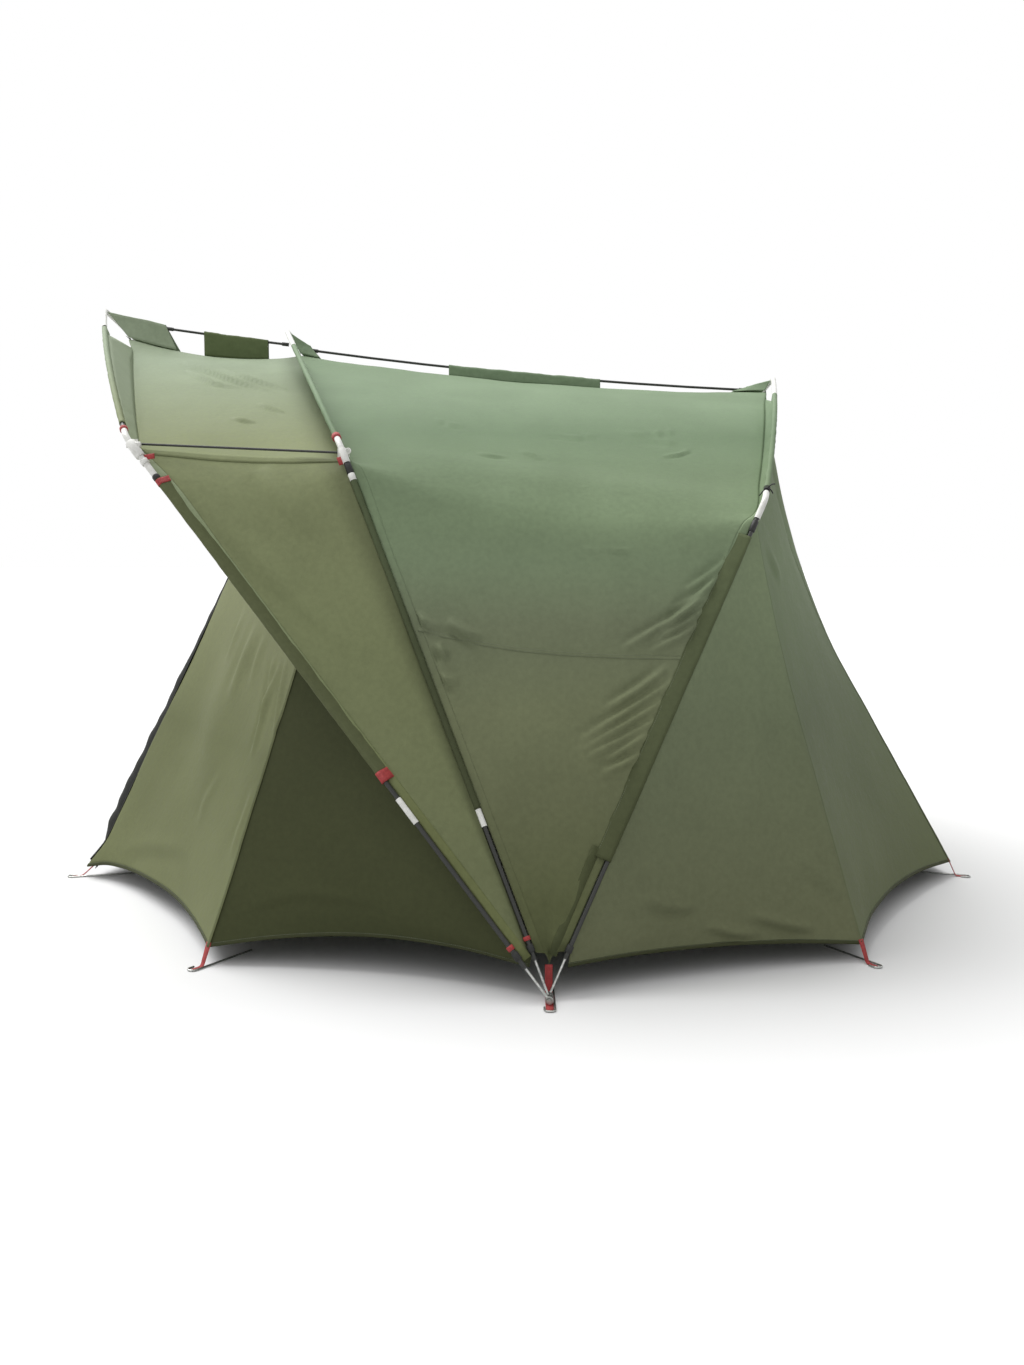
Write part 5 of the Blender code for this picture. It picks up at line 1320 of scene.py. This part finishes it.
# Webbing. Woven polypropylene tape in red, faintly glossy along its ribs, which are 2 mm apart: a
# peg loop at each wall corner, a strap under each pivot, and wraps at the sleeves' ends and elbows.
WEB_DEEP = "8e2a2c"
WEB_RED = "b5403f"
WEB_RIB = 0.002
STRAP = 0.002
LOOP_FLAT = 0.03
LOOP_SEWN = 0.012
LOOP_WIDTHS = (0.017, 0.011)
PIVOT_STRAP_WIDTH = 0.0182
PIVOT_STRAP_OUT = 0.05
WRAP = 0.0012
SLEEVE_WRAPS = ((0.606, 0.634, 0.033), (1.512, 1.528, 0.034))
TAG = 0.003
webbing = finish("woven_polypropylene", WEB_DEEP, WEB_RED, 0.006, (0.55, 0.7))
tree = webbing.node_tree
place = add_node(tree, "ShaderNodeTexCoord")
rib = add_node(tree, "ShaderNodeTexWave", {"Vector": (place, "UV"), "Scale": WAVE_TURNS / WEB_RIB,
                                           "Distortion": 0.6}, bands_direction="Y")
ribs = add_node(tree, "ShaderNodeBump", {"Height": (rib, "Fac"), "Distance": 0.0005, "Strength": 0.7})
join(tree, ribs, "Normal", tree.nodes["Principled BSDF"], "Normal")


def peg_loop(corner, reach):
    """A loop from a wall's corner down to its peg, near side."""
    way = unit(corner * (1, 1, 0) - (PIVOT_X, 0, 0))
    end = corner + way * reach
    end[2] = STRAP / 2
    fold = end - way * LOOP_FLAT
    start = corner + unit(corner - fold) * LOOP_SEWN
    path = resample(np.array([start, corner, fold, end]), 24)
    for _ in range(3):
        path[1:-1] = (path[:-2] + 2 * path[1:-1] + path[2:]) / 4
    sideways = np.array([way[1], -way[0], 0.0])
    up = np.cross(unit(np.gradient(path, axis=0)), sideways)
    return band(path, up * np.sign(up[:, 2:]), np.linspace(*LOOP_WIDTHS, len(path)), STRAP)


loops = [peg_loop(front_end_corner, FRONT_END_REACH)]
loops += [peg_loop(corner, LOOP_REACH) for corner in (front_side_corner, rear_side_corner,
                                                      rear_end_corner)]
pair("peg_loops", loops, webbing, "root")

strap_route = [(PIVOT_X, -HALF_WIDTH - PIVOT_STRAP_OUT, STRAP / 2), (PIVOT_X, -HALF_WIDTH, STRAP / 2),
               (PIVOT_X, -PIVOT_CORNER_Y - 0.005, STRAP / 2), (PIVOT_X, -PIVOT_CORNER_Y, 0.012),
               (PIVOT_X, -PIVOT_CORNER_Y, PIVOT_CORNER_Z + 0.006)]
strap_path = resample(np.array(strap_route), 30)
strap_up = np.cross(unit(np.gradient(strap_path, axis=0)), (-1.0, 0.0, 0.0))
straps = pair("pivot_webbing", [band(strap_path, strap_up, PIVOT_STRAP_WIDTH, STRAP)], webbing,
              "root")
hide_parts("pivot_strap_near")
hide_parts("pivot_strap_far")


def roof_cuff(hoop, distance, length, outer):
    """A ring round a roof pole, at a distance from its elbow."""
    share = distance / np.linalg.norm(roof_point(hoop, 1) - roof_point(hoop, 0))
    return collar(roof_point(hoop, share), pole_frame(hoop, share)[0], POLE_R, outer, length)


def tag(hoop, reach, way, length, width):
    """A folded webbing tab that sticks out from a leg."""
    foot = leg_point(hoop, reach)
    path = [foot + way * step for step in np.linspace(0.004, length, 6)]
    return band(path, np.cross(way, pole_frame(hoop)[0]), width, TAG)


front_axis, _, front_rear = pole_frame(FRONT)
front_wraps = [leg_sleeve(FRONT, bottom, top, FRONT_SLEEVE.swing, tail, WRAP)
               for bottom, top, tail in SLEEVE_WRAPS]
front_wraps += [cuff(FRONT, 0.14, 0.012, 0.0085), roof_cuff(FRONT, 0.05, 0.014, 0.0105),
                tag(FRONT, 1.6, unit(front_rear * 0.8 - front_axis * 0.5), 0.034, 0.014)]
pair("front_wraps", front_wraps, webbing, "front_hoop")
middle_wraps = [roof_cuff(MIDDLE, 0.052, 0.02, 0.0115),
                tag(MIDDLE, 1.335, unit(-middle_rear - middle_inward * 0.2), 0.02, 0.022),
                cuff(MIDDLE, 0.135, 0.01, 0.0085)]
pair("middle_wraps", middle_wraps, webbing, "root")

# Elastic ties: short strips of matt black rubber, knotted round the rear roof poles beside the
# elbows to hold the ends of the fin.
TIE_PLACE = 0.06
TIE_R = 0.0017
TIE_BEND = (0, -0.006, 0.004)
TIE_WRAPS = ((-0.012, (1, 0, 0)), (-0.004, (-1, 0, 1)), (0.005, (0, 0, 1)))
TIE_TAILS = ((-0.02, -0.006, -0.018), (0.014, -0.008, -0.012), (0.02, -0.004, 0.012))
tie_at, tie_axis = roof_point(REAR, TIE_PLACE), pole_frame(REAR, TIE_PLACE)[0]
tie = [collar(tie_at + tie_axis * step, unit(tie_axis + np.array(lean) * 0.3), POLE_R, 0.0085, 0.004)
       for step, lean in TIE_WRAPS]
tie_share = np.linspace(0, 1, 8)[:, None]
for way in TIE_TAILS:
    path = tie_at + tie_share * way + np.sin(math.pi * tie_share) * TIE_BEND
    tie.append(spindle(path, [TIE_R] * 8, 10))
pair("rear_elbow_tie", tie, rubber_finish, "root")

# Stitching. Rows of lockstitch along the canopy's seams, the leg sleeves' tails, the walls' corner
# seams and the hem tapes, sewn from the outside.
HEM_ROW = 0.0085
HEM_ROW_LIFT = 0.0017
SEAM_ROW_LIFT = 0.002
FRONT_LEG_ROW = (FRONT, 0.64, 1.51, FRONT_SLEEVE.swing, 0.026)
LEG_ROWS = ((MIDDLE, 0.45, 1.27, math.radians(62), 0.012), (REAR, 0.33, 1.15, REAR_SLEEVE.swing, 0.03))
front_edge_line = along_sleeve(*FRONT_LEG_ROW)
leg_lines = [along_sleeve(*row) for row in LEG_ROWS]


def hem_stitches(grid):
    return grid[-1] + unit(grid[-2] - grid[-1]) * HEM_ROW + outward(grid)[0][-1] * HEM_ROW_LIFT


def seam_stitches(grid, column):
    return grid[:, column] + outward(grid)[0][:, column] * SEAM_ROW_LIFT


near_lines = leg_lines + seam_lines + [hem_stitches(near_wall), seam_stitches(near_wall, wing_seam)]
rear_lines = [hem_stitches(rear_grid)] + [seam_stitches(rear_grid, column) for column in end_seams]
set_along("frame_stitches", both(near_lines) + rear_lines, STITCH_PITCH, STITCH_LENGTH,
          STITCH_THREAD, thread_finish, "root")
set_along("front_stitches", both([front_edge_line]), STITCH_PITCH, STITCH_LENGTH, STITCH_THREAD,
          thread_finish, "front_hoop")

# Studio: a plain floor in matt white paint, under an overcast dome that is brightest overhead and
# dimmest to the rear, and one broad soft lamp from the front left.
BOUNCE = 0.5
FLOOR_SHOWN = 0.82
FLOOR_HALF = 40
FLOOR_DROP = 0.0005
LAMP_STRENGTH = 2.8
LAMP_WIDTH = 50
LAMP_TURN = (-22, -28, 0)
floor_mesh = bpy.data.meshes.new("floor")
corners = [(x * FLOOR_HALF, y * FLOOR_HALF, 0) for x, y in ((-1, -1), (1, -1), (1, 1), (-1, 1))]
floor_mesh.from_pydata(corners, [], [(0, 1, 2, 3)])
floor = bpy.data.objects.new("floor", floor_mesh)
floor.location.z = -FLOOR_DROP
bpy.context.scene.collection.objects.link(floor)


def shown_rays(tree):
    """1 for rays that show the background: straight to the camera, or off gloss or through glass."""
    rays = add_node(tree, "ShaderNodeLightPath")
    shown = add_node(tree, "ShaderNodeMath", {0: (rays, "Is Camera Ray"), 1: (rays, "Is Glossy Ray")},
                     operation="MAXIMUM")
    return add_node(tree, "ShaderNodeMath", {0: (shown, "Value"), 1: (rays, "Is Transmission Ray")},
                    operation="MAXIMUM")


paint = bpy.data.materials.new("matt_floor_paint")
paint.use_nodes = True
tree = paint.node_tree
tree.nodes.remove(tree.nodes["Principled BSDF"])
tint = add_node(tree, "ShaderNodeMix", {0: (shown_rays(tree), "Value"), 6: (BOUNCE,) * 3 + (1,),
                                        7: (FLOOR_SHOWN,) * 3 + (1,)}, data_type="RGBA")
matt = add_node(tree, "ShaderNodeBsdfDiffuse", {"Color": (tint, 2)})
join(tree, matt, "BSDF", tree.nodes["Material Output"], "Surface")
floor_mesh.materials.append(paint)

SKY_LOW = 0.58
SKY_HIGH = 0.95
SKY_FRONT = 1.05
SKY_REAR = 0.5
world = bpy.data.worlds.new("studio")
world.use_nodes = True
bpy.context.scene.world = world
tree = world.node_tree
dome = tree.nodes["Background"]
dome.inputs["Color"].default_value = (1, 1, 1, 1)
place = add_node(tree, "ShaderNodeTexCoord")
split = add_node(tree, "ShaderNodeSeparateXYZ", {"Vector": (place, "Generated")})
lift = add_node(tree, "ShaderNodeMapRange", {"Value": (split, "Z"), "From Min": 0.0, "From Max": 1.0,
                                             "To Min": SKY_LOW, "To Max": SKY_HIGH},
                interpolation_type="SMOOTHSTEP")
fall = add_node(tree, "ShaderNodeMapRange", {"Value": (split, "X"), "From Min": -0.2, "From Max": 0.9,
                                             "To Min": SKY_FRONT, "To Max": SKY_REAR},
                interpolation_type="SMOOTHSTEP")
sky = add_node(tree, "ShaderNodeMath", {0: (lift, "Result"), 1: (fall, "Result")}, operation="MULTIPLY")
join(tree, sky, "Value", dome, "Strength")
white = add_node(tree, "ShaderNodeBackground", {"Color": (1, 1, 1, 1), "Strength": 1.0})
mix = add_node(tree, "ShaderNodeMixShader", {0: (shown_rays(tree), "Value"), 1: (dome, "Background"),
                                             2: (white, "Background")})
join(tree, mix, "Shader", tree.nodes["World Output"], "Surface")

lamp = bpy.data.lights.new("soft_key", "SUN")
lamp.energy = LAMP_STRENGTH
lamp.angle = math.radians(LAMP_WIDTH)
key = bpy.data.objects.new("soft_key", lamp)
key.rotation_euler = [math.radians(turn) for turn in LAMP_TURN]
bpy.context.scene.collection.objects.link(key)
bpy.context.scene.view_settings.view_transform = "Standard"
